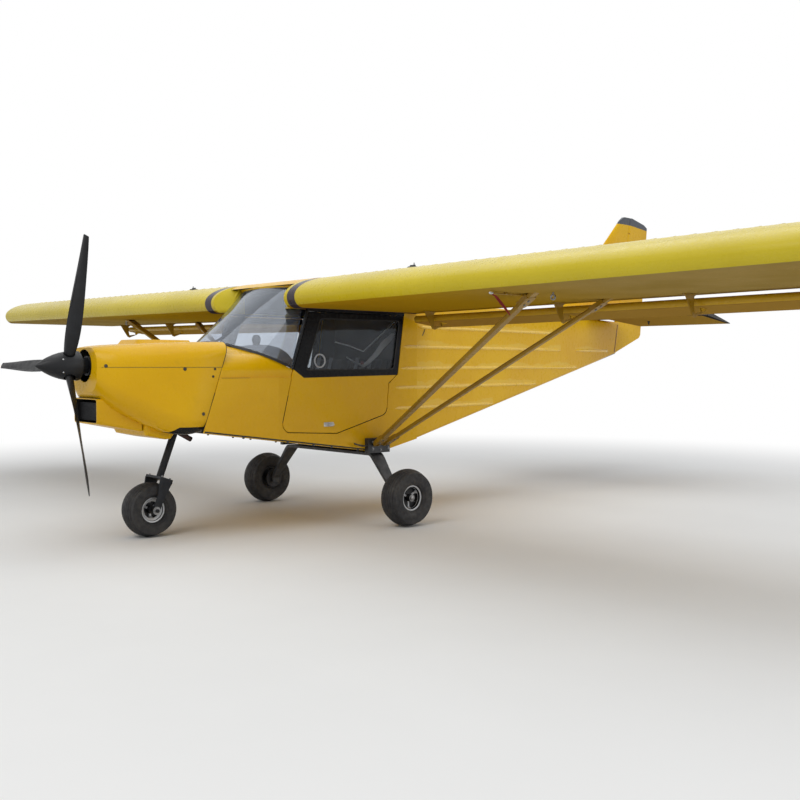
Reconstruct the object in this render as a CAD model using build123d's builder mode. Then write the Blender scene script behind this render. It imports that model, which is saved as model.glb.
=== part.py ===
"""Two-seat high-wing ultralight aircraft on tricycle gear.

Millimetres, +X to port, +Y aft, +Z up, ground at Z = 0. Stations along the
aircraft are measured aft of the main axle and placed by at().
"""
from build123d import *
from math import atan2, cos, degrees, radians, sin, tan
import os

# Overall layout
axle_y = -945.0
wheel_base = 1544.0
track = 1699.0
nose_lean = 19.0
hinge_gap = 6.0
seat_gap = 0.3
running_gap = 0.05
skin = 12.0


def at(aft):
    """Y of a station given aft of the main axle."""
    return axle_y + aft


def section(aft):
    """Upright plane across the aircraft, X to port and Y up, facing forward."""
    return Plane.XZ.offset(-at(aft))


def side(x):
    """Upright plane along the aircraft at distance x to port, X aft and Y up."""
    return Plane.YZ.offset(x)


def export(builder, label):
    builder.part.label = label
    export_step(builder.part, f"parts/{label}.step")


os.makedirs("parts", exist_ok=True)

# Cabin
cabin_half = 500.0
firewall_half = 455.0
wall = 25.0
firewall_aft = -1270.0
firewall_z = 1100.0
belly_front_z = 700.0
belly_low_aft = 50.0
belly_low_z = 496.0
cabin_end_aft = 430.0
wall_top_z = 1519.0
deck_edge_z = 1050.0
deck_top_z = 1285.0
deck_shoulder_z = 1215.0
deck_shoulder_share = 0.78
deck_side_rise = 35.0
deck_bulge_share = 0.30
deck_bulge_drop = 42.0
deck_front_aft = -1330.0
deck_rear_aft = -560.0
screen_base_aft = -1120.0
screen_slope = 24.8
kink_aft = -850.0


def lean_aft(z):
    """Station of the leaning firewall plane at height z."""
    return firewall_aft + (z - firewall_z) * tan(radians(nose_lean))


def belly_z(aft):
    """Height of the cabin belly line ahead of its lowest point."""
    slope = (belly_front_z - belly_low_z) / (lean_aft(belly_front_z) - belly_low_aft)
    return belly_low_z + (aft - belly_low_aft) * slope


def wall_half(aft):
    """Half width over the side walls ahead of the doors."""
    foot = lean_aft(belly_front_z)
    return cabin_half - (cabin_half - firewall_half) * (kink_aft - aft) / (kink_aft - foot)


def screen_aft(z):
    """Station at which the sloping deck plane passes height z."""
    return screen_base_aft + (deck_top_z - z) / tan(radians(screen_slope))


def screen_z(aft):
    """Height of the sloping plane in which deck and windscreen meet."""
    return deck_top_z - (aft - screen_base_aft) * tan(radians(screen_slope))


# Tail boom
boom_end_aft = 3760.0
boom_end_half = 45.0
boom_end_low_z = 1268.0
boom_top_z = 1635.0
boom_skin = 8.0

# Wing
wing_root_x = 440.0
wing_tip_x = 4500.0
dihedral = 0.55
wing_le_aft = -764.0
wing_chord = 1184.0
wing_bottom_z = wall_top_z + seat_gap
wing_le_z = 1593.0
wing_top_z = 1744.0
wing_top_share = 400.0
wing_line_aft = 800.0
wing_line_z = 1674.0
wing_te_thick = 12.0

# Flaperons
flap_root_x = 565.0
flap_tip_x = 3900.0
flap_nose_aft = 338.0
flap_nose_z = 1472.0
flap_nose_r = 26.0
flap_te_aft = 585.0
flap_te_z = 1416.0
flap_hinge_aft = 400.0
flap_hinge_z = 1428.0
bracket_xs = (800.0, 1970.0, 2900.0, 3840.0)
bracket_front_aft = 297.0
bracket_thick = 6.0
hinge_eye_r = 8.0
hinge_pin_r = 4.0
lug_thick = 4.0
lug_gap = 0.5

# Tail surfaces
fin_top_z = 2640.0
fin_tip_drop = 48.0
rudder_tip_drop = 80.0
rudder_corner_drop = 46.0
rudder_corner_long = 60.0
rudder_hinge_low = (3656.0, 1250.0)
rudder_hinge_top = (3951.5, fin_top_z)
rudder_te_low = (4150.0, 1430.0)
rudder_te_top = (4255.0, fin_top_z - rudder_tip_drop)
tail_half = 1180.0
stab_le_aft = 3040.0
stab_z = 1606.0
stab_thick = 52.0
stab_seat_z = stab_z - stab_thick / 2 - seat_gap
boom_end_top_z = boom_top_z - (boom_top_z - stab_seat_z) * (boom_end_aft - cabin_end_aft) / (
    stab_le_aft - cabin_end_aft
)
elevator_hinge_aft = 3470.0
elevator_te_aft = 3860.0
elevator_te_z = 1522.0
elevator_nose_r = 21.0
rudder_nose_r = 22.0
tail_te_thick = 6.0
tail_hinge_gap = 6.0
tail_pin_r = 4.0
tail_eye_r = 9.0
tail_lug_thick = 6.0
tail_lug_root = 8.0
tail_notch_side = 2.0
elevator_hinge_xs = (-900.0, -300.0, 300.0, 900.0)
rudder_hinge_zs = (1330.0, 1900.0, fin_top_z - 160.0)
fin_foot_z = stab_z + stab_thick / 2 + seat_gap
fin_le_low = (2790.0, 1650.0)
fin_le_top = (3746.0, fin_top_z - fin_tip_drop)

# Wheels
main_r = 202.0
main_w = 155.0
main_rim_r = 88.0
nose_r = 180.0
nose_w = 164.0
nose_rim_r = 82.0
axle_r = 12.5
leg_x = track / 2 - main_w / 2 - 28.0
steer_lean = 21.0

# Power unit
thrust_z = 1129.0
spinner_tip_aft = -2301.0
spinner_base_aft = -2030.0
spinner_r = 92.0
hub_aft = -2100.0
prop_r = 875.0
cowl_front_aft = -1985.0
cowl_split_z = 1120.0

# Cabin side: belly, deck and door outline share the same lines
door_front_low = (-832.0, 683.0)
door_low = (-350.0, 655.0)
door_rear_low = (118.0, 778.0)
door_corner_r = 60.0
sill_z = 1060.0
door_top_z = 1497.0
door_rear_aft = 290.0
pillar_foot = (-725.0, 1102.0)
pillar_top_aft = -590.0
pillar_rim = 14.0
hinge_x = cabin_half + 4.0
hinge_z = door_top_z + 3.0
door_hinge_aft = (-480.0, 180.0)
door_pin_r = 2.5
door_eye_r = 5.0
door_pin_long = 60.0
door_eye_long = 10.0

door_outline = [
    (pillar_top_aft, door_top_z),
    pillar_foot,
    (-752.0, 1000.0),
    door_front_low,
    door_low,
    door_rear_low,
    (140.0, 1000.0),
    (door_rear_aft - 60.0, sill_z + 10.0),
    (door_rear_aft, door_top_z),
]


def placed(points):
    """Side-view points with their stations turned into Y."""
    return [(at(aft), z) for aft, z in points]


def door_sketch(grow):
    """Door outline in side view, grown or shrunk all round."""
    with BuildSketch(Plane.XY) as outline:
        with BuildLine():
            Polyline(*placed(door_outline), close=True)
        make_face()
        corners = [
            outline.vertices().sort_by_distance(corner)[0]
            for corner in placed([door_front_low, door_rear_low])
        ]
        fillet(corners, radius=door_corner_r)
        offset(amount=grow, kind=Kind.INTERSECTION)
    return outline.sketch


def wall_sketch():
    """Forward fuselage side outline up to the deck, the screen and the wing."""
    foot = lean_aft(belly_front_z)
    points = [
        (foot, belly_front_z),
        (belly_low_aft, belly_low_z),
        (cabin_end_aft, boom_low_z(cabin_end_aft)),
        (cabin_end_aft, wall_top_z),
        (pillar_top_aft - pillar_rim, wall_top_z),
        (pillar_foot[0] - pillar_rim, screen_z(pillar_foot[0] - pillar_rim)),
        (screen_aft(deck_edge_z), deck_edge_z),
        (lean_aft(deck_edge_z), deck_edge_z),
    ]
    with BuildSketch(Plane.XY) as outline:
        with BuildLine():
            Polyline(*placed(points), close=True)
        make_face()
    return outline.sketch


def boom_low_z(aft):
    """Height of the rear fuselage bottom line."""
    slope = (boom_end_low_z - belly_low_z) / (boom_end_aft - belly_low_aft)
    return belly_low_z + (aft - belly_low_aft) * slope


# Side walls, bent inwards ahead of the doors, with the door openings cut
walls = wall_sketch()
door_hole = door_sketch(hinge_gap)
door_leaf = door_sketch(0.0)
for label, sign in (("side_wall_left", 1), ("side_wall_right", -1)):
    plan = [
        (sign * firewall_half, at(lean_aft(belly_front_z))),
        (sign * cabin_half, at(kink_aft)),
        (sign * cabin_half, at(cabin_end_aft)),
        (sign * (cabin_half - wall), at(cabin_end_aft)),
        (sign * (cabin_half - wall), at(kink_aft)),
        (sign * (firewall_half - wall), at(lean_aft(belly_front_z))),
    ]
    with BuildPart() as side_wall:
        with BuildSketch(Plane.XY.offset(belly_low_z - 50.0)):
            with BuildLine():
                Polyline(*plan, close=True)
            make_face()
        extrude(amount=wall_top_z - belly_low_z + 100.0)
        with BuildSketch(side(0)):
            add(walls)
        extrude(amount=sign * 2 * cabin_half, mode=Mode.INTERSECT)
        with BuildSketch(side(0)):
            add(door_hole)
        extrude(amount=sign * 2 * cabin_half, mode=Mode.SUBTRACT)
        for aft in door_hinge_aft:
            for end in (-1, 1):
                with BuildSketch(section(aft + end * (door_pin_long - door_eye_long) / 2)):
                    with Locations((sign * hinge_x, hinge_z)):
                        Circle(door_eye_r)
                    with Locations((sign * (cabin_half + 1.0), hinge_z + 7.0)):
                        Rectangle(6.0, 14.0)
                    with Locations((sign * hinge_x, hinge_z)):
                        Circle(door_pin_r + running_gap, mode=Mode.SUBTRACT)
                extrude(amount=door_eye_long / 2, both=True)
    export(side_wall, label)

# Floor, bent along the belly line between the side walls
floor_thick = 22.0
plate = 10.0
floor_front = firewall_aft + plate
with BuildPart() as belly_pan:
    with BuildSketch(side(0)):
        with BuildLine():
            Polyline(
                *placed(
                    [
                        (floor_front, belly_z(floor_front)),
                        (belly_low_aft, belly_low_z),
                        (cabin_end_aft, boom_low_z(cabin_end_aft)),
                        (cabin_end_aft, boom_low_z(cabin_end_aft) + floor_thick),
                        (belly_low_aft, belly_low_z + floor_thick),
                        (floor_front, belly_z(floor_front) + floor_thick),
                    ]
                ),
                close=True,
            )
        make_face()
    extrude(amount=cabin_half, both=True)
    with BuildSketch(Plane.XY.offset(belly_low_z - 50.0)):
        with BuildLine():
            Polyline(
                (firewall_half - wall, at(lean_aft(belly_front_z))),
                (cabin_half - wall, at(kink_aft)),
                (cabin_half - wall, at(cabin_end_aft)),
                (wall - cabin_half, at(cabin_end_aft)),
                (wall - cabin_half, at(kink_aft)),
                (wall - firewall_half, at(lean_aft(belly_front_z))),
                close=True,
            )
        make_face()
    extrude(amount=400.0, mode=Mode.INTERSECT)
export(belly_pan, "belly_pan")


def deck_body(inset, front_aft, rear_aft):
    """Crowned deck over the footwell, its sides vertical down to the side walls."""
    with BuildPart() as body:
        for aft, half in ((front_aft, firewall_half), (rear_aft, cabin_half)):
            w = half - inset
            top = deck_top_z - inset
            shoulder = (deck_shoulder_share * half, deck_shoulder_z - inset)
            side_z = deck_edge_z + deck_side_rise
            bulge = (w - deck_bulge_share * (w - shoulder[0]), shoulder[1] - deck_bulge_drop)
            with BuildSketch(section(aft)):
                with BuildLine():
                    Line((-w, deck_edge_z), (w, deck_edge_z))
                    Line((w, deck_edge_z), (w, side_z))
                    ThreePointArc((w, side_z), bulge, shoulder)
                    ThreePointArc(shoulder, (0, top), (-shoulder[0], shoulder[1]))
                    ThreePointArc((-shoulder[0], shoulder[1]), (-bulge[0], bulge[1]), (-w, side_z))
                    Line((-w, side_z), (-w, deck_edge_z))
                make_face()
        loft()
    return body.part


screen_plane = Plane(
    origin=(0, at(screen_base_aft), deck_top_z),
    x_dir=(1, 0, 0),
    z_dir=(0, sin(radians(screen_slope)), cos(radians(screen_slope))),
)
firewall_plane = Plane(
    origin=(0, at(firewall_aft), firewall_z),
    x_dir=(1, 0, 0),
    z_dir=(0, -cos(radians(nose_lean)), sin(radians(nose_lean))),
)

deck_outer = deck_body(0.0, deck_front_aft, deck_rear_aft)
deck_inner = deck_body(skin, deck_front_aft, deck_rear_aft)
with BuildPart() as top_deck:
    add(deck_outer)
    add(deck_inner, mode=Mode.SUBTRACT)
    split(bisect_by=screen_plane, keep=Keep.BOTTOM)
    split(bisect_by=firewall_plane, keep=Keep.BOTTOM)
    with BuildSketch(side(0)):
        add(door_hole)
    extrude(amount=2 * cabin_half, both=True, mode=Mode.SUBTRACT)
export(top_deck, "top_deck")

# Cowling: rounded sections from the spinner ring to the firewall
cowl_wall = 8.0
cowl_table = (
    # aft, low z, top z, half width, corner radius, lean of the section
    (cowl_front_aft, 965.0, 1243.0, 175.0, 100.0, 0.0),
    (-1930.0, 902.0, 1252.0, 238.0, 120.0, 2.0),
    (-1780.0, 812.0, 1266.0, 325.0, 135.0, 6.0),
    (-1560.0, 722.0, 1279.0, 412.0, 125.0, 12.0),
    (firewall_aft, belly_front_z, deck_top_z, firewall_half, 95.0, nose_lean),
)


def cowl_body(inset):
    """Closed body inside the cowling line, drawn in by inset but open at the firewall."""
    with BuildPart() as body:
        for aft, low, top, half, corner, lean in cowl_table:
            stretch = 1.0 / cos(radians(lean))
            middle = (low + top) / 2
            shift = (middle - firewall_z) * tan(radians(lean)) if lean == nose_lean else 0.0
            front = inset if aft == cowl_front_aft else 0.0
            plane = Plane(
                origin=(0, at(aft + shift + front), middle),
                x_dir=(1, 0, 0),
                z_dir=(0, -cos(radians(lean)), sin(radians(lean))),
            )
            with BuildSketch(plane):
                RectangleRounded(
                    2 * (half - inset), (top - low) * stretch - 2 * inset, corner - inset
                )
        loft()
    return body.part


chin_half = 158.0
chin_top_z = 925.0
chin_low_z = 768.0
chin_wall = 6.0
chin_front_aft = cowl_front_aft + 5.0
chin_table = (
    # aft, low z, top z, half width
    (chin_front_aft, chin_low_z, chin_top_z, chin_half),
    (-1700.0, 712.0, 935.0, 205.0),
)
chin_corner_r = 18.0


def chin_body(inset):
    """Duct under the cowling, open at the radiator mouth."""
    with BuildPart() as body:
        for aft, low, top, half in chin_table:
            with BuildSketch(section(aft)):
                with Locations((0, (low + top) / 2)):
                    RectangleRounded(2 * (half - inset), top - low - 2 * inset, chin_corner_r - inset)
        loft(ruled=True)
    return body.part


# Outlet bulge under the cowling, in side view
outlet_half = 228.0
outlet_edge_r = 32.0
outlet_outline = (
    (-1690.0, 716.0),
    (-1672.0, 684.0),
    (-1530.0, 653.0),
    (-1498.0, 655.0),
    (-1438.0, 730.0),
    (-1438.0, 810.0),
    (-1690.0, 810.0),
)
outlet_turn_z = 725.0
outlet_hole = (-1320.0, 400.0, 300.0)  # station, width, length


def outlet_body(inset):
    """Shallow bulge that leads the cooling air out ahead of the firewall."""
    with BuildPart() as body:
        with BuildSketch(side(inset - outlet_half)):
            with BuildLine():
                Polyline(*placed(outlet_outline), close=True)
            make_face()
            offset(amount=-inset, kind=Kind.INTERSECTION)
        extrude(amount=2 * (outlet_half - inset))
        low_edges = body.edges().filter_by(lambda e: abs(abs(e.center().X) - outlet_half + inset) < 0.1)
        low_edges = low_edges.filter_by(lambda e: e.center().Z < outlet_turn_z)
        fillet(low_edges, radius=outlet_edge_r - inset)
    return body.part


cowl_outer = cowl_body(0.0)
cowl_inner = cowl_body(cowl_wall)
chin_outer = chin_body(0.0)
chin_inner = chin_body(chin_wall)
outlet_outer = outlet_body(0.0)
outlet_inner = outlet_body(chin_wall)
spinner_hole_r = spinner_r + 11.0
spinner_hole_rear = cowl_front_aft + 40.0
spinner_hole_long = 120.0

# Flat-topped blister over the carburettors
blister_front_aft = -1705.0
blister_rear_aft = -1275.0
blister_half = 165.0
blister_corner_r = 60.0
blister_foot_z = 1262.0
blister_high = 36.0
blister_taper = 40.0

with BuildPart() as upper_cowl:
    add(cowl_outer)
    with BuildSketch(Plane.XY.offset(blister_foot_z)):
        with Locations((0, at((blister_front_aft + blister_rear_aft) / 2))):
            RectangleRounded(2 * blister_half, blister_rear_aft - blister_front_aft, blister_corner_r)
    extrude(amount=blister_high, taper=blister_taper)
    add(cowl_inner, mode=Mode.SUBTRACT)
    with BuildSketch(section(spinner_hole_rear)):
        with Locations((0, thrust_z)):
            Circle(spinner_hole_r)
    extrude(amount=spinner_hole_long, mode=Mode.SUBTRACT)
    split(bisect_by=Plane.XY.offset(cowl_split_z), keep=Keep.TOP)
export(upper_cowl, "upper_cowl")

with BuildPart() as lower_cowl:
    add(cowl_outer)
    add(chin_outer)
    add(outlet_outer)
    add(cowl_inner, mode=Mode.SUBTRACT)
    add(chin_inner, mode=Mode.SUBTRACT)
    add(outlet_inner, mode=Mode.SUBTRACT)
    with BuildSketch(section(spinner_hole_rear)):
        with Locations((0, thrust_z)):
            Circle(spinner_hole_r)
    extrude(amount=spinner_hole_long, mode=Mode.SUBTRACT)
    with Locations((0, at(outlet_hole[0]), 700.0)):
        Box(outlet_hole[1], outlet_hole[2], 120.0, mode=Mode.SUBTRACT)
    split(bisect_by=Plane.XY.offset(cowl_split_z - seat_gap), keep=Keep.BOTTOM)
export(lower_cowl, "lower_cowl")

# Radiator core behind the chin mouth, carried by the duct walls
radiator_aft = -1900.0
radiator_thick = 40.0
radiator_drop = 6.0
radiator_margin = 15.0
chin_share = (radiator_aft - chin_front_aft) / (chin_table[1][0] - chin_front_aft)
duct_flare = degrees(atan2(chin_table[1][3] - chin_half, chin_table[1][0] - chin_front_aft))
radiator_half = chin_half + (chin_table[1][3] - chin_half) * chin_share - chin_wall - seat_gap
with BuildPart() as radiator:
    with BuildSketch(section(radiator_aft)):
        with Locations((0, (chin_low_z + chin_top_z) / 2 - radiator_drop)):
            Rectangle(2 * radiator_half, chin_top_z - chin_low_z - 2 * radiator_margin)
    extrude(amount=radiator_thick, taper=duct_flare)
export(radiator, "radiator")

# Firewall plate, set just inside the front end of the cabin
with BuildPart() as firewall:
    add(deck_inner)
    with BuildSketch(section(firewall_aft)):
        Rectangle(2 * cabin_half, 2 * deck_top_z)
    extrude(amount=-plate, mode=Mode.INTERSECT)
    low = belly_z(firewall_aft)
    with BuildSketch(section(firewall_aft)):
        with Locations((0, (low + deck_edge_z) / 2)):
            Rectangle(2 * (wall_half(firewall_aft) - wall), deck_edge_z - low)
    extrude(amount=-plate)
export(firewall, "firewall")

# Engine as one block with its gearbox snout, on a tubular mount
engine_size = (450.0, 420.0, 310.0)
engine_aft = -1590.0
engine_z = 1035.0
gearbox_r = 62.0
gearbox_front_aft = -1970.0
mount_tube_r = 11.0
mount_x = 180.0
mount_rise = 110.0
with BuildPart() as engine:
    with Locations((0, at(engine_aft), engine_z)):
        Box(*engine_size)
    with BuildSketch(section(engine_aft)):
        with Locations((0, thrust_z)):
            Circle(gearbox_r)
    extrude(amount=engine_aft - gearbox_front_aft)
export(engine, "engine")

engine_rear_aft = engine_aft + engine_size[1] / 2
with BuildPart() as engine_mount:
    for x in (-mount_x, mount_x):
        for z in (engine_z - mount_rise, engine_z + mount_rise):
            with BuildSketch(section(firewall_aft).offset(seat_gap)):
                with Locations((x, z)):
                    Circle(mount_tube_r)
            extrude(amount=firewall_aft - engine_rear_aft - 2 * seat_gap)
export(engine_mount, "engine_mount")

# Exhaust: down from the engine and out under the cowling
pipe_r = 17.0
pipe_wall = 2.0
pipe_x = 150.0
pipe_aft = -1425.0
pipe_bend = 60.0
pipe_turn_z = 700.0
pipe_end_z = 640.0
pipe_end_back = 110.0
engine_low_z = engine_z - engine_size[2] / 2
with BuildPart() as exhaust:
    with BuildLine() as pipe_path:
        FilletPolyline(
            (pipe_x, at(pipe_aft), engine_low_z - seat_gap),
            (pipe_x, at(pipe_aft), pipe_turn_z),
            (pipe_x, at(pipe_aft + pipe_end_back), pipe_end_z),
            radius=pipe_bend,
        )
    with BuildSketch(Plane(origin=(pipe_x, at(pipe_aft), engine_low_z - seat_gap), z_dir=(0, 0, -1))):
        Circle(pipe_r)
        Circle(pipe_r - pipe_wall, mode=Mode.SUBTRACT)
    sweep(path=pipe_path.wire())
export(exhaust, "exhaust")

# Windscreen: from the deck line up to the roof, one bent sheet back to the pillars
glass = 5.0
screen_top_z = 1690.0
screen_top_half = 408.0
screen_top_aft = -625.0
screen_top_depth = 110.0
screen_tail = 60.0
screen_table = (
    # front station, height, slope, half width, depth of the bend
    (
        screen_base_aft,
        deck_top_z,
        screen_slope,
        cabin_half,
        (pillar_foot[0] - screen_base_aft) / cos(radians(screen_slope)),
    ),
    (screen_top_aft, screen_top_z, screen_slope / 2, screen_top_half, screen_top_depth),
)


def screen_body(inset):
    """Wrapped screen volume, its base in the sloping deck plane."""
    with BuildPart() as body:
        for aft, z, slope, half, depth in screen_table:
            w = half - inset
            lean = radians(slope)
            with BuildSketch(Plane(origin=(0, at(aft), z), x_dir=(1, 0, 0), z_dir=(0, sin(lean), cos(lean)))):
                with BuildLine():
                    EllipticalCenterArc((0, depth), w, depth - inset, 180, arc_size=180)
                    Line((w, depth), (w, depth + screen_tail))
                    Line((w, depth + screen_tail), (-w, depth + screen_tail))
                    Line((-w, depth + screen_tail), (-w, depth))
                make_face()
        loft(ruled=True)
    return body.part


pillar_base_z = screen_z(pillar_foot[0] - pillar_rim)
pillar_plane = Plane(
    origin=(0, at(pillar_foot[0] - pillar_rim), pillar_base_z),
    x_dir=(1, 0, 0),
    z_dir=(0, pillar_base_z - wall_top_z, pillar_top_aft - pillar_foot[0]),
).offset(seat_gap)
screen_outer = screen_body(0.0)
screen_inner = screen_body(glass)
with BuildPart() as windscreen:
    add(screen_outer)
    add(screen_inner, mode=Mode.SUBTRACT)
    split(bisect_by=pillar_plane, keep=Keep.TOP)
export(windscreen, "windscreen")


tip_cap = 45.0
tip_shrink = 0.93
tip_centre_share = 0.45


def wing_profile(share):
    """Wing section in side view, shrunk about its middle by share.

    Elliptic nose, arched top, straight rear and flat bottom.
    """
    middle = (at(wing_le_aft + tip_centre_share * wing_chord), wing_le_z)

    def drawn(aft, z):
        return (middle[0] + (at(aft) - middle[0]) * share, middle[1] + (z - middle[1]) * share)

    crest_aft = wing_le_aft + wing_top_share
    nose = wing_le_z - wing_bottom_z
    te = wing_le_aft + wing_chord
    low_te = drawn(te, wing_bottom_z)
    high_te = drawn(te, wing_bottom_z + wing_te_thick)
    shoulder = drawn(wing_le_aft + wing_line_aft, wing_line_z)
    with BuildSketch(Plane.XY) as outline:
        with BuildLine():
            EllipticalCenterArc(
                drawn(crest_aft, wing_le_z),
                share * wing_top_share,
                share * (wing_top_z - wing_le_z),
                90,
                arc_size=90,
            )
            CenterArc(drawn(wing_le_aft + nose, wing_le_z), share * nose, 180, 90)
            Line(drawn(wing_le_aft + nose, wing_bottom_z), low_te)
            Line(low_te, high_te)
            Line(high_te, shoulder)
            TangentArc(drawn(crest_aft, wing_top_z), shoulder, tangent=(1, 0))
        make_face()
    return outline.sketch


def outboard(sign):
    """Unit direction along the span, raised by the dihedral."""
    return (sign * cos(radians(dihedral)), 0, sin(radians(dihedral)))


def span_length(x0, x1):
    return (x1 - x0) / cos(radians(dihedral))


def rise(x):
    """How far the dihedral has lifted the wing at distance x from its root."""
    return (x - wing_root_x) * tan(radians(dihedral))


profile = wing_profile(1.0)
tip_profile = wing_profile(tip_shrink)
cap_x = wing_tip_x - tip_cap
for label, sign in (("wing_left", 1), ("wing_right", -1)):
    with BuildPart() as wing:
        with BuildSketch(side(sign * wing_root_x)):
            add(profile)
        extrude(amount=span_length(wing_root_x, cap_x), dir=outboard(sign))
        with BuildSketch(side(sign * cap_x)):
            with Locations((0, rise(cap_x))):
                add(profile)
        with BuildSketch(side(sign * wing_tip_x)):
            with Locations((0, rise(wing_tip_x))):
                add(tip_profile)
        loft(ruled=True)
    export(wing, label)


def flaperon_profile():
    """Round-nosed flaperon section, drooped towards its trailing edge."""
    nose = (at(flap_nose_aft + flap_nose_r), flap_nose_z)
    te = (at(flap_te_aft), flap_te_z)
    with BuildSketch(Plane.XY) as outline:
        with BuildLine():
            Polyline(
                (nose[0], nose[1] + flap_nose_r),
                te,
                (nose[0], nose[1] - flap_nose_r),
            )
            ThreePointArc(
                (nose[0], nose[1] + flap_nose_r),
                (nose[0] - flap_nose_r, nose[1]),
                (nose[0], nose[1] - flap_nose_r),
            )
        make_face()
    return outline.sketch


flap_horn = (
    # aft of the hinge, above the hinge
    (-24.0, 24.0),
    (-7.0, -3.0),
    (7.0, -3.0),
    (60.0, 12.0),
)
flap = flaperon_profile()
for label, sign in (("flaperon_left", 1), ("flaperon_right", -1)):
    with BuildPart() as flaperon:
        with BuildSketch(side(sign * flap_root_x)):
            with Locations((0, rise(flap_root_x))):
                add(flap)
        extrude(amount=span_length(flap_root_x, flap_tip_x), dir=outboard(sign))
        for x in bracket_xs:
            hinge = flap_hinge_z + rise(x)
            for cheek in (1, -1):
                inner = sign * x + cheek * (bracket_thick / 2 + lug_gap)
                with BuildSketch(side(inner)):
                    with BuildLine():
                        Polyline(
                            *[(at(flap_hinge_aft + back), hinge + up) for back, up in flap_horn],
                            close=True,
                        )
                    make_face()
                    with Locations((at(flap_hinge_aft), hinge)):
                        Circle(hinge_eye_r)
                extrude(amount=cheek * lug_thick)
            with BuildSketch(side(sign * x)):
                with Locations((at(flap_hinge_aft), hinge)):
                    Circle(hinge_pin_r)
            extrude(amount=bracket_thick / 2 + lug_gap + lug_thick, both=True)
    export(flaperon, label)


def bulged(start, end, bulge):
    """Point at height bulge over the middle between two side-view points."""
    return ((start[0] + end[0]) / 2, (start[1] + end[1]) / 2 + bulge)


# Roof between the wing roots
roof_rear_z = boom_top_z
roof_skin = 18.0
roof_front_bulge = 18.0
roof_rear_bulge = 22.0
roof_lip = 20.0
with BuildPart() as cabin_roof:
    with BuildSketch(side(-wing_root_x)):
        with BuildLine():
            front = (at(screen_top_aft) - 4.0, screen_top_z + 6.0)
            crest = (at(wing_le_aft + wing_top_share), wing_top_z)
            rear = (at(cabin_end_aft), roof_rear_z)
            lip = (front[0] + roof_lip, front[1] - roof_lip / 4)
            low_crest = (crest[0], crest[1] - roof_skin)
            low_rear = (rear[0], rear[1] - roof_skin)
            ThreePointArc(front, bulged(front, crest, roof_front_bulge), crest)
            ThreePointArc(crest, bulged(crest, rear, roof_rear_bulge), rear)
            Line(rear, low_rear)
            ThreePointArc(low_rear, bulged(low_crest, low_rear, roof_rear_bulge), low_crest)
            ThreePointArc(low_crest, bulged(low_crest, lip, roof_front_bulge), lip)
            Line(lip, front)
        make_face()
    extrude(amount=2 * wing_root_x)
export(cabin_roof, "cabin_roof")


boom_corner_r = 26.0


def boom_body(inset):
    """Rear fuselage, tapering to the rudder post."""
    rows = (
        # aft, low z, top z, half width
        (cabin_end_aft, boom_low_z(cabin_end_aft), boom_top_z, cabin_half),
        (boom_end_aft, boom_end_low_z, boom_end_top_z, boom_end_half),
    )
    with BuildPart() as body:
        for aft, low, top, half in rows:
            with BuildSketch(section(aft)):
                with Locations((0, (low + top) / 2)):
                    RectangleRounded(2 * (half - inset), top - low - 2 * inset, boom_corner_r - inset)
        loft(ruled=True)
    return body.part


# Bulkhead closing the cabin
with BuildPart() as rear_bulkhead:
    low = boom_low_z(cabin_end_aft) + floor_thick
    with BuildSketch(section(cabin_end_aft)):
        with Locations((0, (low + wall_top_z) / 2)):
            Rectangle(2 * (cabin_half - wall), wall_top_z - low)
    extrude(amount=plate)
export(rear_bulkhead, "rear_bulkhead")


def on_line(low, top, z):
    """Station at height z on the line through two side-view points."""
    return low[0] + (z - low[1]) * (top[0] - low[0]) / (top[1] - low[1])


def hinge_line_aft(z):
    """Station of the leaning rudder hinge at height z."""
    return on_line(rudder_hinge_low, rudder_hinge_top, z)


def foil(nose, full, te, thick, te_thick):
    """Aerofoil section lying along X: elliptic nose up to full, then straight."""
    with BuildSketch(Plane.XY) as outline:
        with BuildLine():
            EllipticalCenterArc((full, 0), full - nose, thick / 2, 90, arc_size=180)
            Line((full, -thick / 2), (te, -te_thick / 2))
            Line((te, -te_thick / 2), (te, te_thick / 2))
            Line((te, te_thick / 2), (full, thick / 2))
        make_face()
    return outline.sketch


def level(z):
    """Level plane at height z, its X pointing aft from Y = 0."""
    return Plane(origin=(0, 0, z), x_dir=(0, 1, 0), z_dir=(0, 0, 1))


hinge_lean = Vector(
    0, rudder_hinge_top[0] - rudder_hinge_low[0], rudder_hinge_top[1] - rudder_hinge_low[1]
).normalized()
post_plane = Plane(
    origin=(0, at(rudder_hinge_low[0]), rudder_hinge_low[1]),
    x_dir=(1, 0, 0),
    z_dir=(0, hinge_lean.Z, -hinge_lean.Y),
).offset(-rudder_nose_r - tail_hinge_gap)


def rudder_hinge_plane(z):
    """Plane across the rudder hinge at height z, its X pointing aft."""
    return Plane(
        origin=(0, at(hinge_line_aft(z)), z),
        x_dir=(0, hinge_lean.Z, -hinge_lean.Y),
        z_dir=hinge_lean,
    )


def elevator_hinge_plane(x):
    """Plane across the elevator hinge at distance x to port, its X pointing aft."""
    return Plane(origin=(x, at(elevator_hinge_aft), stab_z), x_dir=(0, 1, 0), z_dir=(1, 0, 0))


def hinge_lug(plane, reach):
    """Lug reaching back to an eye round the hinge pin."""
    with BuildPart() as lug:
        with BuildSketch(plane):
            Circle(tail_eye_r)
            with Locations((-reach / 2, 0)):
                Rectangle(reach, 2 * tail_eye_r)
            Circle(tail_pin_r + running_gap, mode=Mode.SUBTRACT)
        extrude(amount=tail_lug_thick / 2, both=True)
    return lug.part


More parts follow.
